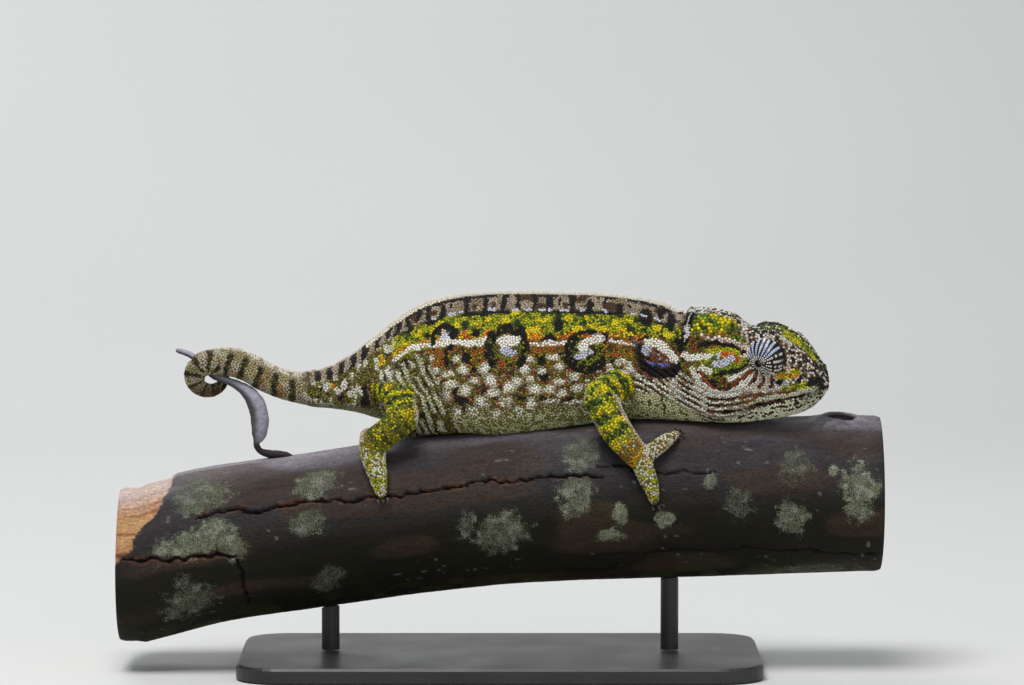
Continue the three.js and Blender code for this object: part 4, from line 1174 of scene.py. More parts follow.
def head_colours(p, q, grain):
    u, side, z = q.T
    # the left side's marks lie a little out of line with the right side's
    u = u + np.where(side > 0, 0.5 * wobble(p, 5.0, 91), 0)
    paint = Paint(p, u, z, 92)
    paint.lay(
        picked(
            grain, (0.26, OLIVE), (0.2, LIME * 0.6), (0.22, RUST * 0.8), (0.16, BROWN), (0.16, BLACK * 2)
        ),
        1.0
    )
    nape = Paint(p, u, (1 - rib_frame(q)[1]) * TRUNK_DEPTH, 72)
    green_band(nape, p, nape.up, grain)
    back_band(nape, p, nape.up)
    paint.lay(nape.colour, smooth(66.0, 66.8, z) * smooth(38.6, 37.6, u))
    neck_marks(paint, p, u, z, grain)
    crown_marks(paint, u, z, grain)
    face_marks(paint, p, u, z, grain)
    top_marks(paint, p, u, side, z, grain)
    temple_marks(paint, grain)
    front_eyespot(paint, grain)
    outer = smooth(0.7, 1.3, np.abs(side))
    rim = paint.off_line(CASQUE_RIM)
    paint.lay(BLACK, smooth(1.0, 0.75, rim) * outer)
    fleck = smooth(0.53, 0.60, noise(p * np.array([0.7, 1, 1]), 1.4, 95)) * smooth(0.75, 0.5, rim) * outer
    paint.lay(LAVENDER * 0.45 + WHITE * 0.4, fleck)
    paint.up = paint.up - far_rise(u, side)
    paint.lay(BLACK, smooth(0.62, 0.45, paint.off_line(CANTHUS)) * outer)
    crest = (
        smooth(0.62, 0.42, np.abs(side)) * smooth(69.2, 70.2, z) * smooth(37.0, 38.5, u) * smooth(52, 51, u)
    )
    edge_bars(paint, p, u, crest)
    return paint.colour


# ---- The tail's and limbs' markings ----


def tail_colours(p, q, grain):
    """Bands round the tail, which stay as many for each turn of the coil, so they narrow with it."""
    place, height = rib_frame(q)
    along = curve(place, (6, -8), (9, -26), (13, -42), (17, -58))
    angle = np.arctan2(p[:, 2] - COIL_Z, p[:, 0] - COIL_X)
    coiled = smooth(-55.2, -56.6, p[:, 0])
    wave = np.where(coiled > 0.5, angle / (2 * math.pi) * 9.0, along / 3.1)
    wave = (wave + 0.22 * wobble(p, 2.4, 101)) % 1
    colour = TAN * np.array([0.80, 0.90, 0.72]) * (0.7 + 0.6 * noise(p, 1.1, 102))[:, None]
    colour = blend(colour, MAUVE, smooth(0.50, 0.66, noise(p, 1.6, 103)))
    greenish = 0.8 * smooth(-44, -24, p[:, 0]) * (grain > 0.45)
    colour = blend(colour, picked(grain, (0.5, LIME * 0.5), (0.5, OLIVE * 1.2)), greenish)
    colour = blend(colour, RUST * 0.8, 0.6 * smooth(0.62, 0.72, noise(p, 2.2, 106)) * (grain > 0.4))
    pale = smooth(0.56, 0.66, noise(p, 1.0, 105)) * smooth(0.45, 0.6, wave)
    colour = blend(colour, PALE * 0.75, 0.7 * pale)
    dark = picked(grain, (0.6, OLIVE * 0.55), (0.4, BLACK * 2))
    reach = smooth(0.95, 0.85, height + 0.1 * noise(p, 1.2, 104))
    colour = blend(colour, dark, smooth(0.0, 0.08, wave) * smooth(0.44, 0.34, wave) * reach)
    # painted shade on the lower side of the tail's coil
    under = coiled * smooth(COIL_Z - 1.0, COIL_Z - 3.0, p[:, 2])
    colour = blend(colour, BROWN * 0.6, 0.7 * under)
    ridge = (1 - coiled) * smooth(0.93, 0.97, height)
    return blend(colour, CREAM * 0.85, ridge * smooth(0.20, 0.30, wave))


def limb_colours(p, name, grain):
    """Cross bands of yellow and green-black, fading to pale granules on the feet."""
    down, offset = limb_frame(p, name)
    apart = 3.55 if name.startswith("front") else 2.1
    wave = ((down - 14.9) / apart + 0.38 * wobble(p, 1.8, 111)) % 1
    wave = np.minimum(wave, 1 - wave)
    dark = smooth(0.23, 0.15, wave) * smooth(0.14, 0.28, noise(p, 1.3, 113))
    colour = picked(
        grain, (0.24, YELLOW * 0.85), (0.36, LIME * 0.95), (0.24, GREEN), (0.08, DARK_GREEN), (0.08, OLIVE)
    )
    bright = picked(grain, (0.62, YELLOW), (0.22, LIME), (0.08, ORANGE * 0.8), (0.08, GREEN))
    colour = blend(colour, bright, smooth(0.27, 0.34, wave) * smooth(0.40, 0.50, noise(p, 1.6, 114)))
    deep = picked(grain, (0.34, DARK_GREEN), (0.36, GREEN * 0.7), (0.10, LIME * 0.7), (0.20, BLACK * 2))
    colour = blend(colour, deep, dark)
    if name.startswith("hind"):
        shin = smooth(10.0, 13.0, down + 1.5 * wobble(p, 1.5, 115))
        dull = picked(
            grain, (0.30, DARK_GREEN), (0.24, GREEN * 0.7), (0.20, YELLOW * 0.7), (0.26, OLIVE * 0.7)
        )
        colour = blend(colour, dull, 0.75 * shin)
    brownish = picked(grain, (0.34, ORANGE * 0.6), (0.28, OLIVE * 1.3), (0.22, BROWN * 2), (0.16, PALE))
    colour = blend(colour, brownish, 0.75 * smooth(18.5, 23.0, down))
    facing = unit(offset)
    ahead = smooth(0.62, 0.85, facing[:, 0]) * smooth(8.0, 11.0, down)
    colour = blend(colour, picked(grain, (0.45, PINK * 0.7 + WHITE * 0.2), (0.35, PALE), (0.20, TAN)), ahead)
    behind = smooth(-0.80, -0.95, facing[:, 0]) * smooth(8.0, 11.0, down) * (grain > 0.5)
    colour = blend(colour, WHITE * 0.7, behind)
    inner = -LIMBS[name][0] * offset[:, 1] / 1.6
    pale = picked(grain, (0.5, PALE * 0.8), (0.3, OLIVE), (0.2, TAN))
    return blend(colour, pale, smooth(0.4, 0.9, inner) * 0.7)


def foot_colours(part, grain):
    """Pale granules on green and brown. The outer bundle of toes is greener, the inner one paler."""
    colour = picked(
        grain, (0.38, PALE * 0.95), (0.22, LIME * 0.8), (0.12, TAN), (0.20, OLIVE), (0.08, YELLOW * 0.7)
    )
    if part == "outer":
        return colour
    paler = picked(grain, (0.5, PALE), (0.22, TAN), (0.10, RUST * 0.7), (0.18, OLIVE))
    return blend(colour, paler, np.full(len(grain), 0.9))


def markings(p, names, grain):
    """The animal's colours at points, whose nearest nodes are given, from a random number for each."""
    q = chart(p)
    colour = np.zeros((len(p), 3))

    def on(which, colours):
        return colours(p[which], q[which], grain[which])

    for node, colours in (("trunk", trunk_colours), ("head", head_colours)):
        colour[names == node] = on(names == node, colours)
    neck = names == "neck"
    if neck.any():
        ahead = smooth(26.5, 28.5, q[neck, 0] + 1.2 * wobble(p[neck], 1.5, 121))
        colour[neck] = blend(on(neck, trunk_colours), on(neck, head_colours), ahead)
    tail = np.char.startswith(names, "tail")
    if tail.any():
        behind = smooth(-36.0, -42.0, p[tail, 0] + 2 * wobble(p[tail], 2.0, 122))
        rump = rump_colours(p[tail], q[tail, 0], rib_frame(q[tail])[1], grain[tail])
        colour[tail] = blend(rump, on(tail, tail_colours), behind)
    for limb in LIMBS:
        mine = np.char.startswith(names, limb)
        feet = mine & has(names, "toes")
        leg = mine & ~feet
        if leg.any():
            colour[leg] = limb_colours(p[leg], limb, grain[leg])
        hip = leg & has(names, "thigh")
        if hip.any():
            below = smooth(58.2, 56.6, p[hip, 2] + 0.8 * wobble(p[hip], 1.3, 123))
            colour[hip] = blend(on(hip, trunk_colours), colour[hip], below)
        for part in ("inner", "outer"):
            mask = feet & has(names, part)
            if mask.any():
                colour[mask] = foot_colours(part, grain[mask])
    return colour


# ---- Materials ----


class Nodes:
    """A material being wired up."""

    def __init__(self, name, roughness=0.5, specular=0.5):
        self.material = bpy.data.materials.new(name)
        self.material.use_nodes = True
        self.tree = self.material.node_tree
        self.shader = self.tree.nodes["Principled BSDF"]
        self.shader.inputs["Roughness"].default_value = roughness
        self.shader.inputs["Specular IOR Level"].default_value = specular
        self.place = self.tree.nodes.new("ShaderNodeTexCoord").outputs["Object"]

    def add(self, kind, **inputs):
        node = self.tree.nodes.new(kind)
        for name, value in inputs.items():
            self.set(node.inputs[name.replace("_", " ")], value)
        return node

    def set(self, socket, value):
        if isinstance(value, bpy.types.NodeSocket):
            self.tree.links.new(value, socket)
        elif isinstance(value, (tuple, list, np.ndarray)):
            value = tuple(float(v) for v in value)
            socket.default_value = (
                value + (1.0,) if len(socket.default_value) == 4 and len(value) == 3 else value
            )
        else:
            socket.default_value = value

    def noise(self, millimetres, detail=3.0, stretch=None):
        """Noise with lumps of this many millimetres, drawn out along X by stretch."""
        place = self.place
        if stretch is not None:
            mapping = self.add("ShaderNodeMapping", Vector=place, Scale=(1 / stretch, 1.0, 1.0))
            place = mapping.outputs["Vector"]
        node = self.add("ShaderNodeTexNoise", Vector=place, Scale=1.0 / (millimetres * MM), Detail=detail)
        return node.outputs["Fac"]

    def ramp(self, value, low, high, start=0.3, end=0.7):
        """A value spread from low at start to high at end."""
        node = self.add(
            "ShaderNodeMapRange", Value=value, From_Min=start, From_Max=end, To_Min=low, To_Max=high
        )
        return node.outputs["Result"]

    def total(self, first, second):
        node = self.add("ShaderNodeMath")
        node.operation = "ADD"
        self.set(node.inputs[0], first)
        self.set(node.inputs[1], second)
        return node.outputs[0]

    def mix(self, share, under, over):
        node = self.add("ShaderNodeMix")
        node.data_type = "RGBA"
        self.set(node.inputs[0], share)
        self.set(node.inputs[6], under)
        self.set(node.inputs[7], over)
        return node.outputs[2]

    def tint(self):
        node = self.add("ShaderNodeAttribute")
        node.attribute_name = "tint"
        return node.outputs["Color"]

    def value(self, name):
        node = self.add("ShaderNodeAttribute")
        node.attribute_name = name
        return node.outputs["Fac"]

    def scaled(self, colour, factor):
        node = self.add("ShaderNodeVectorMath")
        node.operation = "SCALE"
        self.set(node.inputs[0], colour)
        self.set(node.inputs["Scale"], factor)
        return node.outputs[0]

    def finish(self, colour=None, roughness=None, height=None, depth=0.05):
        """Joins colour, roughness and a bump of depth millimetres to the shader."""
        if colour is not None:
            self.set(self.shader.inputs["Base Color"], colour)
        if roughness is not None:
            self.set(self.shader.inputs["Roughness"], roughness)
        if height is not None:
            node = self.add("ShaderNodeBump", Height=height, Strength=1.0, Distance=depth * MM)
            self.set(self.shader.inputs["Normal"], node.outputs["Normal"])
        return self.material


# How the pieces with colours of their own look: their shine; then the noise of their shades and of their
# roughness,
# as size, detail, and the two values it runs between; then that of their bumps, as size, detail and depth.
# Sizes and
# depths are in millimetres.
LOOKS = {
    "skin": (0.12, (0.2, 2.0, 0.7, 1.05), (0.2, 2.0, 0.6, 0.8), (0.2, 2.0, 0.04)),
    "scales": (0.22, (0.16, 2.0, 0.86, 1.12), (0.9, 3.0, 0.46, 0.66), (0.16, 2.0, 0.02)),
    "crest": (0.4, (0.4, 3.0, 0.9, 1.08), (0.7, 3.0, 0.45, 0.6), (0.15, 3.0, 0.02)),
    "eye_skin": (0.2, (0.12, 2.0, 0.85, 1.1), (0.12, 2.0, 0.4, 0.55), (0.12, 2.0, 0.015)),
    "twig": (0.3, (0.35, 3.0, 0.75, 1.2), (0.35, 3.0, 0.55, 0.8), (0.35, 3.0, 0.05)),
}


def tinted_material(name):
    shine, shades, roughness, bumps = LOOKS[name]
    n = Nodes(name, specular=shine)
    colour = n.scaled(n.tint(), n.ramp(n.noise(*shades[:2]), *shades[2:]))
    return n.finish(colour, n.ramp(n.noise(*roughness[:2]), *roughness[2:]), n.noise(*bumps[:2]), bumps[2])


def eyeball_material():
    n = Nodes("eyeball", roughness=0.06, specular=0.6)
    iris = n.mix(n.ramp(n.noise(0.25), 0.0, 1.0), (0.012, 0.009, 0.008), (0.05, 0.03, 0.012))
    n.shader.inputs["Coat Weight"].default_value = 0.6
    n.shader.inputs["Coat Roughness"].default_value = 0.03
    return n.finish(iris, n.ramp(n.noise(0.6), 0.05, 0.10), n.noise(0.5), 0.004)


def claw_material():
    n = Nodes("claw", specular=0.5)
    streaks = n.noise(0.35, 2.0, stretch=0.4)
    colour = n.mix(n.ramp(streaks, 0.0, 1.0), (0.07, 0.055, 0.040), (0.20, 0.16, 0.11))
    return n.finish(colour, n.ramp(streaks, 0.28, 0.42), streaks, 0.02)


def bark_material():
    """Bark from its painted tint, with lichen crusts where the lichen attribute outweighs fine noise."""
    n = Nodes("bark", specular=0.14)
    grain = n.noise(0.42, 4.0, stretch=1.8)
    pits = n.noise(0.20, 3.0)
    crust = n.noise(0.26, 4.0)
    wide = n.noise(2.0, 3.0)
    colour = n.scaled(n.tint(), n.ramp(grain, 0.62, 1.40))
    cover = n.total(n.value("lichen"), n.ramp(crust, -0.40, 0.40, 0.30, 0.70))
    share = n.ramp(cover, 0.0, 0.9, 0.42, 0.80)
    tone = n.mix(n.ramp(pits, 0.0, 1.0, 0.38, 0.62), (0.050, 0.060, 0.028), (0.20, 0.22, 0.15))
    tone = n.mix(n.ramp(wide, 0.0, 0.75, 0.50, 0.66), tone, (0.30, 0.30, 0.25))
    colour = n.mix(share, colour, n.scaled(tone, n.ramp(n.value("pale"), 0.55, 1.25, 0.2, 1.0)))
    height = n.total(n.ramp(grain, 0.0, 1.0), n.ramp(pits, 0.0, 0.6))
    return n.finish(colour, n.ramp(grain, 0.55, 0.80), height, 0.13)


def stand_material():
    n = Nodes("stand_paint", specular=0.4)
    grain = n.noise(0.5, 3.0)
    wear = n.noise(14.0, 3.0)
    colour = n.mix(n.ramp(wear, 0.0, 1.0), (0.020, 0.020, 0.021), (0.032, 0.031, 0.031))
    return n.finish(colour, n.ramp(wear, 0.34, 0.46), grain, 0.012)


def floor_material():
    n = Nodes("floor", specular=0.1)
    wide = n.noise(300.0, 2.0)
    colour = n.mix(n.ramp(wide, 0.0, 1.0), (0.60, 0.61, 0.60), (0.63, 0.635, 0.63))
    return n.finish(colour, n.ramp(wide, 0.75, 0.85), n.noise(2.0), 0.01)


# ---- The skin and its scales ----

# How much the back's ridge lifts the skin, by place along the spine.
RIDGE_LIFT = (
    (-56, 0.3), (-50, 0.6), (-42, 0.8), (-34, 0.9), (-29, 1.2), (-22, 1.2), (-15, 1.0), (-8, 0.55), (0, 0.45),
    (20, 0.45), (30, 0.6), (33, 0.8), (35.6, 1.4), (36.8, 1.1), (37.5, 0.4), (38.3, -1.0), (39.0, 0.3),
    (39.6, 0.5),
    (40.6, -0.1), (41.8, 0.0),
)
TEMPLE_RIDGE = ((41.0, 67.9), (44.9, 67.5), (47.9, 66.8), (50.0, 65.6))
NAPE_GROOVE = ((38.0, 71.6), (37.2, 70.4), (36.9, 68.8), (37.2, 67.2))
NOSTRIL = (62.6, 61.2)
BELLY_SAG = 1.45


def relief(q, names, normals):
    """How far the skin moves: folds, ridges, the mouth, the nostrils, the far brow and the belly's sag."""
    u, side, z = q.T
    lines = Paint(q, u, z, 141)
    depth = curve(u, *FOLD_LINE) - z
    wave = np.cos(((depth + 6.3) / FOLD_PITCH - 0.25) * 2 * math.pi)
    reach = curve(u, (24, 5.0), (28.4, 4.3), (32, 2.9), (37.1, 2.0), (41, 2.0))
    lift = 0.20 * wave * smooth(-5.4, -4.4, depth) * smooth(reach + 1, reach - 1, depth)
    lift = lift * smooth(27, 30, u) * smooth(51, 48, u)
    lift += 0.35 * bump(lines.off_line(TEMPLE_RIDGE), 0, 0.55)
    lift += 0.32 * bump(lines.off_line(CANTHUS), 0, 0.5)
    mouth = lines.off_line(MOUTH)
    lift -= 0.42 * bump(mouth, 0, 0.28)
    lift += 0.14 * bump(mouth, 0.75, 0.35)
    lift += 0.25 * bump(lines.off_line(CASQUE_RIM), 0, 0.5) * smooth(1.2, 2.2, np.abs(side))
    lift -= 0.40 * bump(lines.off_line(NAPE_GROOVE), 0, 0.40)
    nostril = np.hypot(u - NOSTRIL[0], z - NOSTRIL[1])
    lift -= 0.5 * bump(nostril, 0, 0.42) * (np.abs(side) > 0.8)
    # the folds in front of the thigh
    folds = np.cos((u - 0.42 * (72 - z)) / 1.65 * 2 * math.pi)
    lift += 0.10 * folds * smooth(-25, -22, u) * smooth(-12, -16, u) * smooth(66, 63, z)
    body = np.isin(names, ("head", "neck", "trunk"))
    move = np.where(body, lift, 0)[:, None] * normals
    # the far brow and snout stand higher, because the head leans a little more than its block does
    head = names == "head"
    brow = far_rise(u, side) * smooth(3.0, 0.6, curve(u, *CANTHUS[1:]) - z)
    brow = brow * (1 - smooth(2.6, 3.8, side) * smooth(60.0, 57.5, u))
    back = 0.20 * bump(u, 40.6, 1.1) + 0.5 * bump(u, 47.6, 1.8) + 0.55 * bump(u, 50.5, 1.1)
    move[:, 2] += np.where(head, brow + back * smooth(68.5, 70.5, z), 0)
    move[:, 0] -= np.where(head, smooth(69.5, 72.0, z) * smooth(42.5, 40.0, u), 0)
    top = smooth(0.62, 0.92, rib_frame(q)[1]) * (body | np.char.startswith(names, "tail")) * (u > -56)
    move[:, 2] += curve(u, *RIDGE_LIFT) * top
    sag = smooth(-10, 0, u) * smooth(25, 19, u) * smooth(53.5, 48.5, z) * smooth(3.0, 6.5, np.abs(side))
    move[:, 2] -= np.where(names == "trunk", BELLY_SAG * sag, 0)
    return move


def spacing_of(q, names):
    """How far apart scales sit."""
    u, z = q[:, 0], q[:, 2]
    space = np.full(len(q), 0.47)
    for part, apart in (("arm", 0.52), ("thigh", 0.52), ("shin", 0.52), ("toes", 0.46)):
        space[has(names, part)] = apart
    casque = smooth(66.6, 67.8, z) * smooth(37.5, 39.0, u) * smooth(53.0, 50.0, u)
    snout = smooth(56.0, 58.0, u) * smooth(57.0, 59.0, z)
    rim = smooth(1.5, 0.8, Paint(q, u, z, 141).off_line(CASQUE_RIM))
    return np.where(names == "head", 0.44 + 0.22 * casque * (1 - rim) + 0.03 * snout, space)


def chart_uv(p, q, names):
    """Where points lie on an unwrap of the skin: the body in the lower half, each limb in a quarter of the
    upper."""
    place, height = rib_frame(q)
    along = curve(
        place, (0, 36), (1, 30), (3, 16), (5, 0), (7, -14), (9, -24), (11, -32), (13, -41), (15, -51),
        (17, -60)
    )
    along = np.where(q[:, 0] > 34, q[:, 0], along)
    angle = np.arctan2(p[:, 2] - COIL_Z, p[:, 0] - COIL_X)
    coiled = p[:, 0] < -56
    along = np.where(coiled, -63 - 2.2 * angle, along)
    turn = np.arctan2(q[:, 1] / 6.0, (height - 0.5) * 2)
    u = 0.02 + (along + 72) / 145
    v = 0.25 + 0.44 * turn / (2 * math.pi)
    for i, limb in enumerate(LIMBS):
        mine = np.char.startswith(names, limb)
        if mine.any():
            down, offset = limb_frame(p[mine], limb)
            u[mine] = 0.02 + 0.245 * i + 0.21 * np.clip(down / 34, 0, 1)
            turn = np.arctan2(offset[:, 0], offset[:, 2] + 0.3 * offset[:, 1])
            v[mine] = 0.75 + 0.44 * turn / (2 * math.pi)
    return np.clip(np.stack([u, v], 1), 0.01, 0.99)


def make_skin_and_scales():
    points, quads, names = build_skin()
    q = chart(points)
    points = points + relief(q, names, vertex_normals(points, quads))
    grain = np.clip(wobble(points, 0.35, 151) * 1.6 + 0.5, 0, 0.999)
    # the skin under the scales has the markings in painted shade, darker as if shadowed in the gaps between
    # them
    colours = GAP_SHADE * markings(points, names, grain)
    skin = new_mesh("skin", points, quads, tinted_material("skin"), colours=colours)
    ground = Ground(points, quads, spacing_of(q, names))
    roots, normals, spacing, corner = packed_roots(ground, 8)
    names = names[corner]
    tints = markings(roots, names, rng.random(len(roots)))
    tints = np.clip(tints * (0.88 + 0.24 * rng.random(len(roots)))[:, None], 0.004, 0.85)
    side, other = hexagon_turn(roots, normals, spacing)
    height = spacing * (0.20 + 0.11 * rng.random(len(roots)))
    yellow = (tints[:, 0] > 0.4) & (tints[:, 2] < 0.05)
    height = np.where(yellow, 1.25 * height, height)
    uv = chart_uv(roots, chart(roots), names)
    material = tinted_material("scales")
    pieces = []
    for k in range(PIECES):
        mine = slice(k, None, PIECES)
        verts, faces = domes(
            roots[mine], normals[mine], side[mine], other[mine], 0.65 * spacing[mine], height[mine]
        )
        patches = patch_uv(uv[mine], 6, (1, 0.6))
        pieces.append(new_mesh(f"scales_{k + 1}", verts, faces, material, patches, dome_colours(tints[mine])))
    return skin, pieces, ground


# ---- The crest ----

CREST_PITCH = 0.46
# The height of the crest's cones, by place along the spine.
CREST_HEIGHTS = (
    (-55, 0.30), (-40, 0.44), (-24, 0.56), (-10, 0.62), (10, 0.66), (30, 0.78), (37.5, 0.74), (39.3, 0.5),
)
# The rings of a cone: its share of the width, and of the height.
CREST_RINGS = ((1.0, -0.35), (0.92, 0.25), (0.66, 0.66), (0.30, 0.95))
CREST_SIDES = 8


def make_crest(ground):
    """A row of little cones along the back, from the nape to the tail's coil."""
    roots, normals, places = [], [], []
    for u in np.arange(39.3, -55.0, -CREST_PITCH):
        x = u if u < NECK_BEND else NECK_BEND + BEND_RADIUS * math.sin((u - NECK_BEND) / BEND_RADIUS)
        y = float(bend_side(np.array(x)))
        hit = ground.tree.ray_cast(Vector((x, y, 84)), Vector((0, 0, -1)))
        if hit[0] is not None:
            roots.append(hit[0][:])
            normals.append(unit(np.array(hit[1][:]) * np.array([1, 0.3, 1])))
            places.append(u)
    roots, normals, sizes = np.array(roots), np.array(normals), curve(places, *CREST_HEIGHTS)
    side = unit(np.cross(normals, np.array([0.0, 1.0, 0.0])))
    other = np.cross(normals, side)
    wide = 0.40 * np.clip(sizes / 0.66, 0.6, 1)[:, None]
    verts = []
    for share, lift in CREST_RINGS:
        for k in range(CREST_SIDES):
            a = k * 2 * math.pi / CREST_SIDES
            verts.append(
                roots + wide * share * math.cos(a) * side + 0.75 * wide * share * math.sin(a) * other
                + (sizes * lift)[:, None] * normals - (0.10 * lift * sizes)[:, None] * side
            )
    verts.append(roots + sizes[:, None] * 1.02 * normals - (0.12 * sizes)[:, None] * side)
    verts = np.stack(verts, 1).reshape(-1, 3)
    faces = cone_faces(CREST_SIDES, len(CREST_RINGS), len(roots))
    tick = noise(roots, 1.5, 161)
    tint = blend(CREAM * 0.86, TAN * 1.2, smooth(-22, -30, roots[:, 0]) * (tick > 0.62))
    tint = tint * (0.9 + 0.16 * rng.random(len(roots)))[:, None]
    uv = np.stack([0.02 + (roots[:, 0] + 72) / 145, np.full(len(roots), 0.25)], 1)
    uv = patch_uv(uv, CREST_SIDES, (1, 0.85, 0.6, 0.3))
    tint = np.repeat(tint, CREST_SIDES * len(CREST_RINGS) + 1, 0)
    return new_mesh("crest", verts, faces, tinted_material("crest"), uv, tint)


def make_ridge_dots(ground):
    """Rows of small pale beads: along the casque's rim, from brow to snout, and along the head's top."""
    roots, normals = [], []

    def cast(start, towards):
        """Where a ray in the head's own frame meets the skin."""
        start, towards = from_head(start), from_head(towards)
        return ground.tree.ray_cast(Vector(start), Vector(towards - start))

    def bead(hit):
        roots.append(hit[0][:])
        normals.append(hit[1][:])

    for line, pitch in ((CASQUE_RIM, 0.36), (CANTHUS, 0.40)):
        line = np.array(line)
        run = np.concatenate([[0], np.cumsum(np.linalg.norm(np.diff(line, axis=0), axis=1))])
        for s in np.arange(0, run[-1], pitch):
            u, z = np.interp(s, run, line[:, 0]), np.interp(s, run, line[:, 1])
            for side in (-1, 1):
                # the line may run over the skin there, so rays go lower until one meets the head's side
                for step in range(8):
                    height = z - 0.15 * step + far_rise(u, side * 3.0)
                    hit = cast((u - HEAD_SHIFT, side * 14.0, height), (u - HEAD_SHIFT, 0.0, height))
                    if hit[0] is not None and chart(np.array([hit[0][:]]))[0, 1] * side > 0.8:
                        bead(hit)
                        break
    for u in np.arange(38.8, 64.6, 0.38):
        sides = np.arange(-4.2, 4.3, 0.3)
        hits = [cast((u - HEAD_SHIFT, side, 82.0), (u - HEAD_SHIFT, side, 60.0)) for side in sides]
        hits = [hit for hit in hits if hit[0] is not None]
        if hits:
            bead(max(hits, key=lambda hit: hit[0][2]))
    roots, normals = np.array(roots), unit(np.array(normals))
    count = len(roots)
    side, other = hexagon_turn(roots, normals, np.full(count, 0.36))
    size = 0.17 + 0.03 * rng.random(count)
    verts, faces = domes(roots + 0.05 * normals, normals, side, other, size, np.full(count, 0.24))
    tints = picked(rng.random(count), (0.62, WHITE * 0.85), (0.22, PALE), (0.16, MAUVE * 0.6))
    uv = patch_uv(chart_uv(roots, chart(roots), np.full(count, "head")), 6, (1, 0.6))
    return new_mesh("ridge_scales", verts, faces, tinted_material("scales"), uv, dome_colours(tints))


# ---- The eyes ----

EYE_STRIPES = 21
# The lids' opening, in degrees from the gaze.
APERTURE = 9.5
# Each eye's side, and its gaze in the head's own frame, as if on the left.
GAZES = {"right": (-1, (-0.31, 0.88, -0.22)), "left": (1, (0.35, 0.90, 0.12))}


def around_gaze(theta, phi, gaze, first, second):
    """Directions at angles theta from the gaze, and phi round it."""
    return (
        np.cos(theta)[..., None] * gaze
        + (np.sin(theta) * np.cos(phi))[..., None] * first + (np.sin(theta) * np.sin(phi))[..., None] * second
    )


def eye_granules(gaze, first, second, centre, shape):
    """Rows of granules that spread from the pupil: their directions, radii in millimetres, and colours."""
    directions, sizes, thetas = [], [], []
    theta, row = APERTURE + 2.6, 0
    while theta < 124:
        arc = EYE_RADIUS * math.sin(theta * RAD) * 2 * math.pi / EYE_STRIPES
        room = max(arc - 0.58, 0.54 * arc)
        across = max(1, round(room / 0.50))
        for k in range(EYE_STRIPES):
            tilt = (theta + (1.6 if k % 2 else -1.6) * (row > 0)) * RAD
            for m in range(across):
                turn = (k + 0.5 + (m - (across - 1) / 2) * room / across / arc) * 2 * math.pi / EYE_STRIPES
                turn += 0.05 * math.sin(3 * theta * RAD + k)
                way = (
                    math.cos(tilt) * gaze
                    + math.sin(tilt) * (math.cos(turn) * first + math.sin(turn) * second)
                )
                directions.append(way)
                sizes.append(min(0.62 * room / across, 0.34))
                thetas.append(theta)
        theta += 3.4 if theta < 20 else 6.4
        row += 1
    directions, sizes, theta = np.array(directions), np.array(sizes), np.array(thetas)
    ahead, up = directions[:, 0] - gaze[0], directions[:, 2] - gaze[2]
    angle = np.degrees(np.arctan2(up, ahead)) % 360
    chance = rng.random(len(theta))
    pale = picked(
        chance, (0.42, WHITE * 0.85), (0.28, 0.5 * PINK + 0.4 * WHITE), (0.14, PALE), (0.16, BLACK * 2)
    )
    above = smooth(22, 34, angle) * smooth(150, 132, angle)
    colour = blend(pale, LAVENDER * np.array([0.70, 0.78, 0.82]), above)
    colour = blend(colour, WHITE * 0.8, 0.8 * above * (chance > 0.72))
    colour = blend(colour, WHITE * 0.85, above * smooth(26, 20, theta))
    # further round, the turret takes the colours of the head
    face = markings(from_head(centre + directions * shape), np.full(len(theta), "head"), chance)
    lid = smooth(62, 78, theta) * (1 - 0.8 * above * smooth(86, 76, theta))
    colour = blend(colour, face, lid)
    colour = blend(colour, PALE * 1.05 + 0.05 * YELLOW, smooth(APERTURE + 5, APERTURE + 3, theta))
    return directions, sizes, colour * (0.85 + 0.3 * rng.random(len(theta)))[:, None]


def make_eye(name, side, gaze):
    """A turret of granular lids round a small opening: its direction is gaze, in the head's own frame."""
    gaze = unit(np.array(gaze) * np.array([1, side, 1]))
    first = unit(np.cross(gaze, np.array([0.0, 0.0, 1.0])))
    second = np.cross(first, gaze)
    rows, columns = 108, EYE_STRIPES * 16
    theta = APERTURE - 4.0 + (122 - APERTURE) * np.linspace(0, 1, rows) ** 1.15
    phi = np.arange(columns) * 2 * math.pi / columns
    theta, phi = np.meshgrid(theta * RAD, phi, indexing="ij")
    direction = around_gaze(theta, phi, gaze, first, second).reshape(-1, 3)
    theta = np.degrees(theta).ravel()
    shape = np.array([EYE_RADIUS - 0.20, EYE_REACH - 0.10, EYE_RADIUS - 0.20])
    centre = np.array([EYE_ALONG, side * EYE_SIDE, EYE_Z])
    ways, sizes, tints = eye_granules(gaze, first, second, centre, shape)
    tree = KDTree(len(ways))
    for i, way in enumerate(ways.tolist()):
        tree.insert(way, i)
    tree.balance()
    dome, tint = np.zeros(len(direction)), np.zeros((len(direction), 3))
    for i, way in enumerate(direction.tolist()):
        nearest, second_nearest = tree.find_n(way, 2)
        gap = nearest[2] * EYE_RADIUS / sizes[nearest[1]]
        rival = second_nearest[2] * EYE_RADIUS / sizes[second_nearest[1]]
        dome[i] = max(1 - gap * gap, 0) * min(1.0, 3.0 * (rival - gap) + 0.15)
        tint[i] = tints[nearest[1]]
    dome = np.sqrt(dome)
    inside = smooth(APERTURE, APERTURE - 3.0, theta)
    lift = 0.16 * dome + 0.12 * bump(theta, APERTURE + 2.0, 3.0) - 0.40 * inside
    points = centre + direction * (shape + lift[:, None])
    colour = blend(BLACK * 1.2, tint, smooth(0.25, 0.62, dome) * (1 - inside))
    faces = ring_quads(np.arange(rows * columns).reshape(rows, columns))[:, ::-1]
    turret = new_mesh(name, from_head(points), faces, tinted_material("eye_skin"), colours=colour)
    ball = make_eyeball(f"{name}_ball", centre, gaze, first, second, shape - 0.42)
    return turret, ball


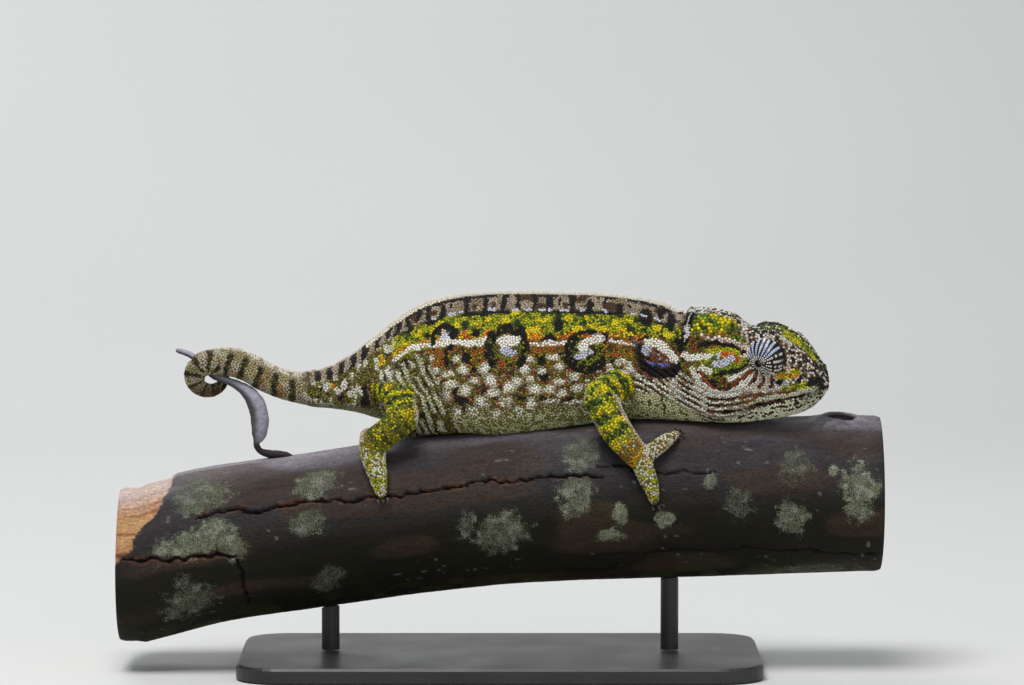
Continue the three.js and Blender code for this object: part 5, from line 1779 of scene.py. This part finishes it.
def make_eyeball(name, centre, gaze, first, second, shape):
    """The part of the eyeball that can be seen through the lids, and a little more."""
    rows, columns = 20, 48
    theta, phi = np.meshgrid(
        np.linspace(0.02, 0.75, rows), np.arange(columns) * 2 * math.pi / columns, indexing="ij"
    )
    direction = around_gaze(theta, phi, gaze, first, second)
    cornea = 0.22
    bulge = cornea * bump(np.degrees(theta), 0, 9.0)
    points = (centre + direction * (shape + bulge[..., None])).reshape(-1, 3)
    points = np.concatenate([points, [centre + gaze * (shape + cornea)]])
    index = np.arange(rows * columns).reshape(rows, columns)
    faces = np.concatenate([halved(ring_quads(index)), fan(rows * columns, index[0])])[:, ::-1]
    return new_mesh(name, from_head(points), faces, eyeball_material())


# ---- The claws ----


def make_claws():
    """One smooth hooked cone for each claw solid, from its root to its tip."""
    verts, faces, start = [], [], 0
    for node in CLAW_NODES:
        p, _ = triangles(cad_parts[node])
        p = np.unique(np.round(p, 4), axis=0)
        toes = node[:node.index("_claw")] + "_toes"
        low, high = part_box(toes)
        towards = p.mean(0) - (np.array(low) + np.array(high)) / MM / 2
        centred = p - p.mean(0)
        axis = np.linalg.svd(centred, full_matrices=False)[2][0]
        axis *= np.sign(axis @ towards) or 1.0
        reach = centred @ axis
        root = p[reach < np.quantile(reach, 0.3)].mean(0)
        tip = p[reach > np.quantile(reach, 0.9)].mean(0)
        out = unit(root - np.array([root[0], 0.0, branch_height(root[0])]))
        middle = (root + tip) / 2 + 0.25 * out
        rows, columns = 12, 12
        t = np.linspace(0, 1, rows)[:, None]
        tip = root + 0.82 * (tip - root)
        path = (1 - t) ** 2 * (root - 0.15 * axis) + 2 * t * (1 - t) * middle + t * t * tip
        tangent = unit(np.gradient(path, axis=0))
        across = unit(np.cross(tangent, out))
        other = np.cross(tangent, across)
        radius = 0.36 * (1 - 0.93 * t ** 1.3)
        for k in range(columns):
            a = k * 2 * math.pi / columns
            verts.append(path + radius * (0.85 * math.cos(a) * across + math.sin(a) * other))
        grid = np.arange(rows * columns).reshape(columns, rows) + start
        a, b = grid, np.roll(grid, -1, 0)
        faces.append(np.stack([a[:, :-1], b[:, :-1], b[:, 1:], a[:, 1:]], -1).reshape(-1, 4))
        start += rows * columns
    return new_mesh("claws", np.concatenate(verts), np.concatenate(faces), claw_material())


# ---- The branch and its twig ----

BRANCH_HEIGHT = [
    (-72, 20.8), (-55, 25), (-36.5, 27.8), (-16, 30.6), (4, 32.6), (24.5, 33.8), (45, 34.4), (72, 34.8)
]
KNOT_X, KNOT_ANGLE, KNOT_SIZE, KNOT_HEIGHT = 67.0, 12 * RAD, 4.2, 1.3
# Cracks of the bark: half width, share of rusty edge, then points of x and degrees from the top to the near
# side.
CRACKS = [
    (0.30, 1.0, [(-60, 63), (-56, 61), (-51, 62), (-47.3, 67), (-43.7, 63), (-36, 64), (-30, 68), (-24, 67.5),
                 (-19.8, 69), (-13, 68), (-8, 67), (-5, 65), (-1.9, 64), (1.9, 67), (6.6, 65.5), (13.2, 64),
                 (20.7, 66.5)]),
    (0.18, 0.0, [(19.5, 59), (25, 60), (27, 65), (31, 66), (35.8, 65), (39.8, 67), (43, 66)]),
    (
        0.20,
        0.1,
        [
            (20, 128), (28, 129), (36, 126.5), (42, 129), (48.6, 125), (55.4, 129), (61, 128), (68, 132),
            (74, 134)
        ]
    ),
    (0.30, 0.7, [(-75, 79), (-68, 85), (-62, 90), (-56, 91), (-52, 96)]),
    (0.20, 0.0, [(-52, 96), (-51, 108), (-50.5, 122), (-49.6, 138)]),
    (0.26, 0.6, [(60, -40), (48, -44), (35, -38), (20, -42), (8, -39)]),
    (0.20, 0.0, [(-10, -75), (-24, -80), (-38, -74), (-50, -78)]),
    (0.24, 0.4, [(66, -110), (50, -118), (30, -112), (12, -116)]),
    (0.16, 0.0, [(69.5, 9), (72.5, 11), (76, 10)]),
]
# Lichen: x, degrees, half length, half height, and how pale.
LICHENS = [
    (-58.5, 44, 7.0, 6.0, 0.5), (-60.0, 80, 9.5, 4.4, 0.8), (-53.0, 90, 3.6, 3.0, 0.6),
    (-61.6, 121, 6.0, 5.5, 0.4),
    (-36.6, 51, 5.4, 4.4, 0.6), (-38.0, 81, 4.8, 3.4, 0.5), (-34.0, 127, 4.0, 4.3, 0.3),
    (-6.6, 96, 2.2, 3.6, 0.4),
    (0.9, 104, 6.4, 5.2, 0.6), (15.0, 78, 4.2, 5.6, 0.7), (16.0, 48, 4.7, 5.5, 0.5),
    (23.8, 96, 1.5, 3.2, 1.0),
    (21.7, 112, 3.2, 1.7, 1.0), (32.5, 100, 2.3, 2.4, 1.0), (41.5, 73, 1.6, 2.5, 0.7),
    (46.9, 90, 3.9, 4.4, 0.35),
    (58.4, 62, 3.9, 4.6, 0.4), (57.9, 103, 3.7, 5.0, 0.7), (70.8, 82, 5.0, 7.2, 0.8),
    (66.0, 66, 1.2, 1.7, 1.0),
    (61.0, 155, 9.0, 3.0, 0.3), (50, -60, 6, 5, 0.6), (22, -85, 5, 6, 0.5), (-8, -50, 5, 4, 0.6),
    (-30, -95, 6, 5, 0.7),
    (-55, -60, 7, 6, 0.6), (38, -130, 4, 4, 0.4), (-15, -140, 5, 3, 0.4),
]
BARE_WOOD = [
    (-180, -90), (-100, -82), (-77, -73.7), (-59, -70.5), (-40, -68), (0, -65.2), (30, -66.2), (50, -68),
    (59, -71), (77, -73.9), (100, -82), (180, -90),
]


# painted light on the bark: its underside in painted shade, its top lit, and a pale painted sheen along the
# top
BARK_SHADED_BELOW = np.array([0.010, 0.009, 0.004])
BARK_LIT_ABOVE = np.array([0.038, 0.033, 0.037])
BARK_TOP_SHEEN = np.array([0.25, 0.23, 0.26])
BARK_BROWN = np.array([0.045, 0.028, 0.018])
BARK_MOSS = np.array([0.045, 0.055, 0.015])
BARK_FLECK = np.array([0.20, 0.20, 0.17])
CRACK_RUST = np.array([0.115, 0.048, 0.028])
CRACK_BLACK = np.array([0.003, 0.0025, 0.0025])
WOOD_TAN = np.array([0.44, 0.25, 0.115])
WOOD_RED = np.array([0.27, 0.095, 0.04])
WOOD_GREY = np.array([0.55, 0.47, 0.44])
WOOD_DARK = np.array([0.12, 0.06, 0.03])
KNOT_COLLAR = np.array([0.25, 0.235, 0.25])
KNOT_HOLE = np.array([0.008, 0.006, 0.006])
SAWN_PALE = np.array([0.46, 0.31, 0.17])
SAWN_RING = np.array([0.32, 0.19, 0.09])
PITH = np.array([0.20, 0.11, 0.05])
TWIG_GREY = np.array([0.30, 0.29, 0.35])
# painted shade for the twig's lower left side
TWIG_SHADED_SIDE = np.array([0.03, 0.024, 0.022])
TWIG_ROOT = np.array([0.022, 0.016, 0.014])


def branch_height(x):
    return curve(x, *BRANCH_HEIGHT)


def branch_radius(x, angle):
    lumps = 0.22 * np.sin(2 * angle + 0.045 * x + 0.6) + 0.16 * np.sin(3 * angle - 0.08 * x + 2)
    away = np.hypot(x - KNOT_X, (angle - KNOT_ANGLE) * PERCH_RADIUS) / KNOT_SIZE
    return PERCH_RADIUS + lumps + KNOT_HEIGHT * np.exp(-away * away)


def on_branch(x, angle, lift):
    slope = np.arctan((branch_height(x + 1) - branch_height(x - 1)) / 2)
    reach = branch_radius(x, angle) + lift
    return np.stack([x, -reach * np.sin(angle), branch_height(x) + reach * np.cos(angle) / np.cos(slope)], -1)


def bark_looks(x, angle):
    """The bark's lift in millimetres, its colour, and its share of lichen."""
    degrees = np.degrees(angle)
    round_ = np.stack([x, PERCH_RADIUS * np.sin(angle), PERCH_RADIUS * np.cos(angle)], -1)
    long_ = round_ * np.array([0.28, 1, 1])
    flat = Paint(round_, x, degrees * PERCH_RADIUS * RAD, 181)
    wood_edge = curve(degrees, *BARE_WOOD) + 1.2 * wobble(round_, 1.6, 182)
    bare = smooth(0.15, -0.15, x - wood_edge)
    lift = -0.10 + 0.16 * (layered(long_, 1.6, 183) - 0.5) + 0.10 * (layered(round_, 0.7, 184) - 0.5)
    shade = 0.65 + 0.7 * layered(long_, 1.3, 185)
    # painted light and shade: the bark is darker below and lighter on top, as light falls from above; topness
    # also puts lichen on the top
    topness = smooth(103, 50, np.abs(degrees))
    colour = blend(BARK_SHADED_BELOW, BARK_LIT_ABOVE, topness)
    # a pale painted sheen along the top of the bark, stronger towards the rear end
    top_sheen = curve(x, (-60, 0.95), (-35, 0.75), (-10, 0.36), (30, 0.32), (60, 0.52))
    colour = blend(colour, BARK_TOP_SHEEN, top_sheen * smooth(48, 12, np.abs(degrees)))
    colour = blend(colour, BARK_BROWN, 0.6 * smooth(0.52, 0.68, noise(long_, 5.0, 186)))
    colour = colour * shade[:, None]
    green_foot = smooth(135, 165, np.abs(degrees)) * smooth(0.42, 0.6, noise(round_, 3.0, 187))
    colour = blend(colour, BARK_MOSS, 0.7 * green_foot)
    lichen, paleness = np.zeros(len(x)), np.zeros(len(x))
    for place, at, half, tall, pale in LICHENS:
        dx = (x - place) / half
        dy = (degrees - at) * PERCH_RADIUS * RAD / tall
        d = np.hypot(dx, dy) + 0.85 * (layered(round_, 2.6, 188) - 0.5) + 0.5 * wobble(round_, 0.8, 189)
        patch = smooth(1.15, 0.55, d) * (0.62 + 0.28 * pale)
        patch = patch * (0.70 + 0.45 * noise(round_, 1.1, 190))
        paleness = np.where(patch > lichen, pale, paleness)
        lichen = np.maximum(lichen, patch)
    lichen = np.maximum(lichen, 0.34 * smooth(0.50, 0.62, noise(round_, 5.5, 192)) * topness)
    flecks = smooth(0.85, 0.90, noise(round_, 0.8, 193)) * smooth(0.5, 0.7, noise(round_, 9.0, 194))
    colour = blend(colour, BARK_FLECK, 0.6 * flecks)
    lift = lift + 0.10 * lichen * noise(round_, 0.6, 195)
    flat.across = x + 0.5 * wobble(round_, 1.1, 195)
    flat.up = degrees * PERCH_RADIUS * RAD + 0.9 * wobble(round_, 1.3, 196) + 0.4 * wobble(round_, 0.5, 197)
    for half, rust, points in CRACKS:
        off = flat.off_line([(a, b * PERCH_RADIUS * RAD) for a, b in points])
        rusty = rust * smooth(3.4 * half, 1.0 * half, off) * smooth(0.44, 0.60, noise(round_, 2.8, 198))
        colour = blend(colour, CRACK_RUST, 0.8 * rusty)
        crack = smooth(1.25 * half, 0.6 * half, off)
        colour = blend(colour, CRACK_BLACK, crack)
        lift = lift - 0.8 * crack
        lichen = lichen * (1 - crack) * (1 - 0.7 * rusty)
    streaks = layered(round_ * np.array([0.09, 1, 1]), 1.1, 199)
    wood = blend(WOOD_TAN, WOOD_RED, smooth(0.42, 0.66, streaks))
    wood = blend(wood, WOOD_GREY, smooth(50, 15, np.abs(degrees)) * 0.75)
    wood = blend(wood, WOOD_DARK, smooth(0.58, 0.72, streaks) * smooth(40, 75, np.abs(degrees)))
    colour = blend(colour, wood, bare)
    lift = lift * (1 - bare) + bare * (-0.75 + 0.08 * (streaks - 0.5))
    lift = lift - 0.2 * smooth(0.5, 0.0, x - wood_edge) * (1 - bare)
    scar = np.hypot((x - KNOT_X - 1.2) / 2.9, (angle - KNOT_ANGLE) * PERCH_RADIUS / 2.1)
    scar = scar + 0.25 * wobble(round_, 1.2, 202)
    collar = bump(np.hypot((x - KNOT_X) / 4.6, (angle - KNOT_ANGLE) * PERCH_RADIUS / 3.4), 1.0, 0.32)
    colour = blend(colour, KNOT_COLLAR, 0.7 * collar * smooth(0.35, 0.55, noise(round_, 0.9, 203)))
    colour = blend(colour, KNOT_HOLE, smooth(1.1, 0.85, scar))
    lift = lift - 0.9 * smooth(1.1, 0.6, scar) + 0.25 * bump(scar, 1.3, 0.28)
    lichen = lichen * (1 - bare) * smooth(1.0, 1.4, scar)
    return lift, colour, lichen, paleness


def make_bark():
    """The branch's bark, its peeled end, and the sawn ends with their rings."""
    columns, rows, rings = 316, 296, 26
    x_line = np.linspace(-PERCH_HALF, PERCH_HALF, rows)
    angle_line = (np.arange(columns) - columns / 2) * 2 * math.pi / columns
    x, angle = (g.ravel() for g in np.meshgrid(x_line, angle_line, indexing="ij"))
    lift, colour, lichen, paleness = bark_looks(x, angle)
    near_end = smooth(0.9, 0.0, PERCH_HALF - np.abs(x))
    points = [on_branch(x, angle, np.minimum(lift, 0.25) - 0.30 * near_end)]
    colours = [colour]
    index = np.arange(rows * columns).reshape(rows, columns)
    quads, fans = [band(index[:-1], index[1:])], []
    count = rows * columns
    for end, row in ((-1, index[0]), (1, index[-1])):
        edge = points[0][row]
        centre = edge.mean(0)
        previous = row
        for r in range(1, rings):
            share = 1 - r / rings
            ring = centre + share * (edge - centre)
            ring[:, 0] += end * 0.05 * math.sin(r * 2.1)
            here = np.arange(columns) + count
            count += columns
            quads.append(band(previous, here) if end > 0 else band(here, previous))
            points.append(ring)
            age = share * PERCH_RADIUS
            uneven = 5 * float(noise(np.array([[age, 0.0, 0.0]]), 3.0, 204)[0])
            grain = 0.5 + 0.5 * np.sin(age * 2.9 + uneven + 3 * noise(ring, 7.0, 201))
            colours.append(blend(SAWN_PALE, SAWN_RING, 0.45 * grain))
            previous = here
        points.append(centre[None])
        colours.append(PITH[None])
        after = np.roll(previous, -1)
        pair = (previous, after) if end > 0 else (after, previous)
        fans.append(np.stack([*pair, np.full(columns, count)], -1))
        count += 1
    faces = np.concatenate([halved(np.concatenate(quads)), *fans])
    bark = new_mesh("bark", np.concatenate(points), faces, bark_material(), colours=np.concatenate(colours))
    # the sawn ends have no lichen
    for name, values in (("lichen", lichen), ("pale", paleness)):
        attribute(bark, name, np.concatenate([values, np.zeros(count - len(values))]))
    return bark


# The twig, from its root to its end: x, y, z, radius.
TWIG = [
    (-40.8, -0.9, 41.7, 0.7), (-43.4, -1.0, 42.7, 0.95), (-45.9, -1.1, 42.9, 1.0), (-48.0, -1.2, 43.6, 0.75),
    (-48.7, -1.3, 45.0, 0.75), (-48.2, -1.3, 46.8, 1.7), (-48.0, -1.2, 49.6, 2.1), (-48.6, -1.0, 52.6, 2.1),
    (-50.2, -0.7, 55.0, 1.7), (-52.4, -0.2, 56.6, 1.15), (-54.8, 0.5, 57.6, 0.85), (-57.2, 1.7, 58.3, 0.8),
    (-59.0, 3.4, 59.6, 0.75), (-60.6, 4.6, 61.2, 0.75), (-62.6, 5.3, 62.5, 0.75), (-65.2, 5.8, 63.3, 0.55),
]


def make_twig():
    stations = np.array(TWIG)
    steps = np.arange(len(TWIG))
    rows, columns = 240, 28
    t = np.linspace(0, len(TWIG) - 1, rows)
    path = np.stack([curve(t, *zip(steps, stations[:, k])) for k in range(3)], 1)
    for _ in range(6):
        path[1:-1] = (path[:-2] + 2 * path[1:-1] + path[2:]) / 4
    radius = 0.88 * curve(t, *zip(steps, stations[:, 3])) - 0.04
    radius[-3:] *= np.array([0.95, 0.8, 0.45])
    tangent = unit(np.gradient(path, axis=0))
    across = unit(np.cross(np.array([0.0, 1.0, 0.0]), tangent))
    other = np.cross(tangent, across)
    angle = np.arange(columns) * 2 * math.pi / columns
    out = np.cos(angle)[None, :, None] * across[:, None] + np.sin(angle)[None, :, None] * other[:, None]
    points = (path[:, None] + out * radius[:, None, None]).reshape(-1, 3)
    out = out.reshape(-1, 3)
    bumps = 0.24 * (layered(points * np.array([1, 1, 0.6]), 0.7, 211) - 0.5) * np.repeat(radius, columns)
    points = points + bumps[:, None] * out
    grey = TWIG_GREY * (0.7 + 0.6 * layered(points, 0.9, 212))[:, None]
    # painted shade on the twig's side that faces down and to the left
    colour = blend(grey, TWIG_SHADED_SIDE, 0.85 * smooth(0.15, -0.5, 0.7 * out[:, 2] + 0.8 * out[:, 0]))
    colour = blend(colour, TWIG_ROOT, np.repeat(smooth(4.6, 3.8, t), columns))
    points = np.concatenate([points, path[:1], path[-1:]])
    colour = np.concatenate([colour, colour[:1], colour[-1:]])
    first = rows * columns
    index = np.arange(first).reshape(rows, columns)
    caps = [fan(first, index[0]), fan(first + 1, index[-1])[:, [0, 2, 1]]]
    faces = np.concatenate([halved(ring_quads(index)), *caps])[:, ::-1]
    return new_mesh("twig", points, faces, tinted_material("twig"), colours=colour)


# ---- The stage, the lights and the camera ----


def make_stage():
    """A pale floor that curves up into a backdrop."""
    profile = [(-1.6, 0.0), (0.5, 0.0)]
    profile += [
        (0.5 + 0.5 * math.sin(a), 0.5 - 0.5 * math.cos(a)) for a in np.linspace(0.08, math.pi / 2, 16)
    ]
    profile.append((1.0, 2.4))
    verts = [(x, y, z) for x in (-2.5, 2.5) for y, z in profile]
    count = len(profile)
    faces = [(i, i + count, i + count + 1, i + 1) for i in range(count - 1)]
    floor = new_mesh("floor", np.array(verts) / MM, np.array(faces), floor_material())


def add_area(name, place, target, size, power):
    light = bpy.data.lights.new(name, "AREA")
    light.shape = "DISK"
    light.size = size
    light.energy = power
    obj = bpy.data.objects.new(name, light)
    obj.location = place
    obj.rotation_euler = (Vector(target) - Vector(place)).to_track_quat("-Z", "Y").to_euler()
    bpy.context.scene.collection.objects.link(obj)


def make_lights():
    middle = (0.0, 0.0, 0.055)
    add_area("key", (-0.18, -0.35, 0.97), middle, 0.55, 9.3)
    add_area("fill", (0.7, -0.9, 0.35), middle, 0.9, 2.2)
    add_area("rim", (-0.3, 0.75, 0.75), middle, 0.6, 3.4)
    world = bpy.data.worlds.new("studio")
    world.use_nodes = True
    background = world.node_tree.nodes["Background"]
    background.inputs["Color"].default_value = (0.95, 0.97, 1.0, 1.0)
    background.inputs["Strength"].default_value = 0.33
    bpy.context.scene.world = world


def make_camera():
    camera = bpy.data.cameras.new("camera")
    camera.sensor_width = 36.0
    camera.lens = 175.8
    obj = bpy.data.objects.new("camera", camera)
    target = Vector((0.0024, 0.0, 0.0652))
    raised = 4 * RAD
    obj.location = target + Vector((0.0, -math.cos(raised), math.sin(raised)))
    obj.rotation_euler = (math.pi / 2 - raised, 0.0, 0.0)
    bpy.context.scene.collection.objects.link(obj)
    bpy.context.scene.camera = obj


# ---- Putting it together ----


def put(obj, slot, *nodes):
    """Puts a piece on the frame, in place of the CAD nodes that it stands for."""
    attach(obj, "root")
    if nodes:
        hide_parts(*nodes)


def build():
    skin, scales, ground = make_skin_and_scales()
    put(skin, "skin", *FLESH_NODES)
    for piece in scales:
        put(piece, "skin")
    put(make_crest(ground), "skin")
    put(make_ridge_dots(ground), "skin")
    for name, (side, gaze) in GAZES.items():
        turret, ball = make_eye(f"turret_{name}", side, gaze)
        put(turret, "eye_skin", f"eye_{name}")
        put(ball, "eye_skin")
    put(make_claws(), "claw", *CLAW_NODES)
    put(make_bark(), "bark", "perch_branch")
    put(make_twig(), "twig", "perch_twig")
    paint = stand_material()
    for node in ("stand_base", "stand_rod_rear", "stand_rod_front"):
        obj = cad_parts[node]
        obj.data.materials.clear()
        obj.data.materials.append(paint)
    make_stage()
    make_lights()
    make_camera()


build()
bpy.context.scene.view_settings.view_transform = "Standard"
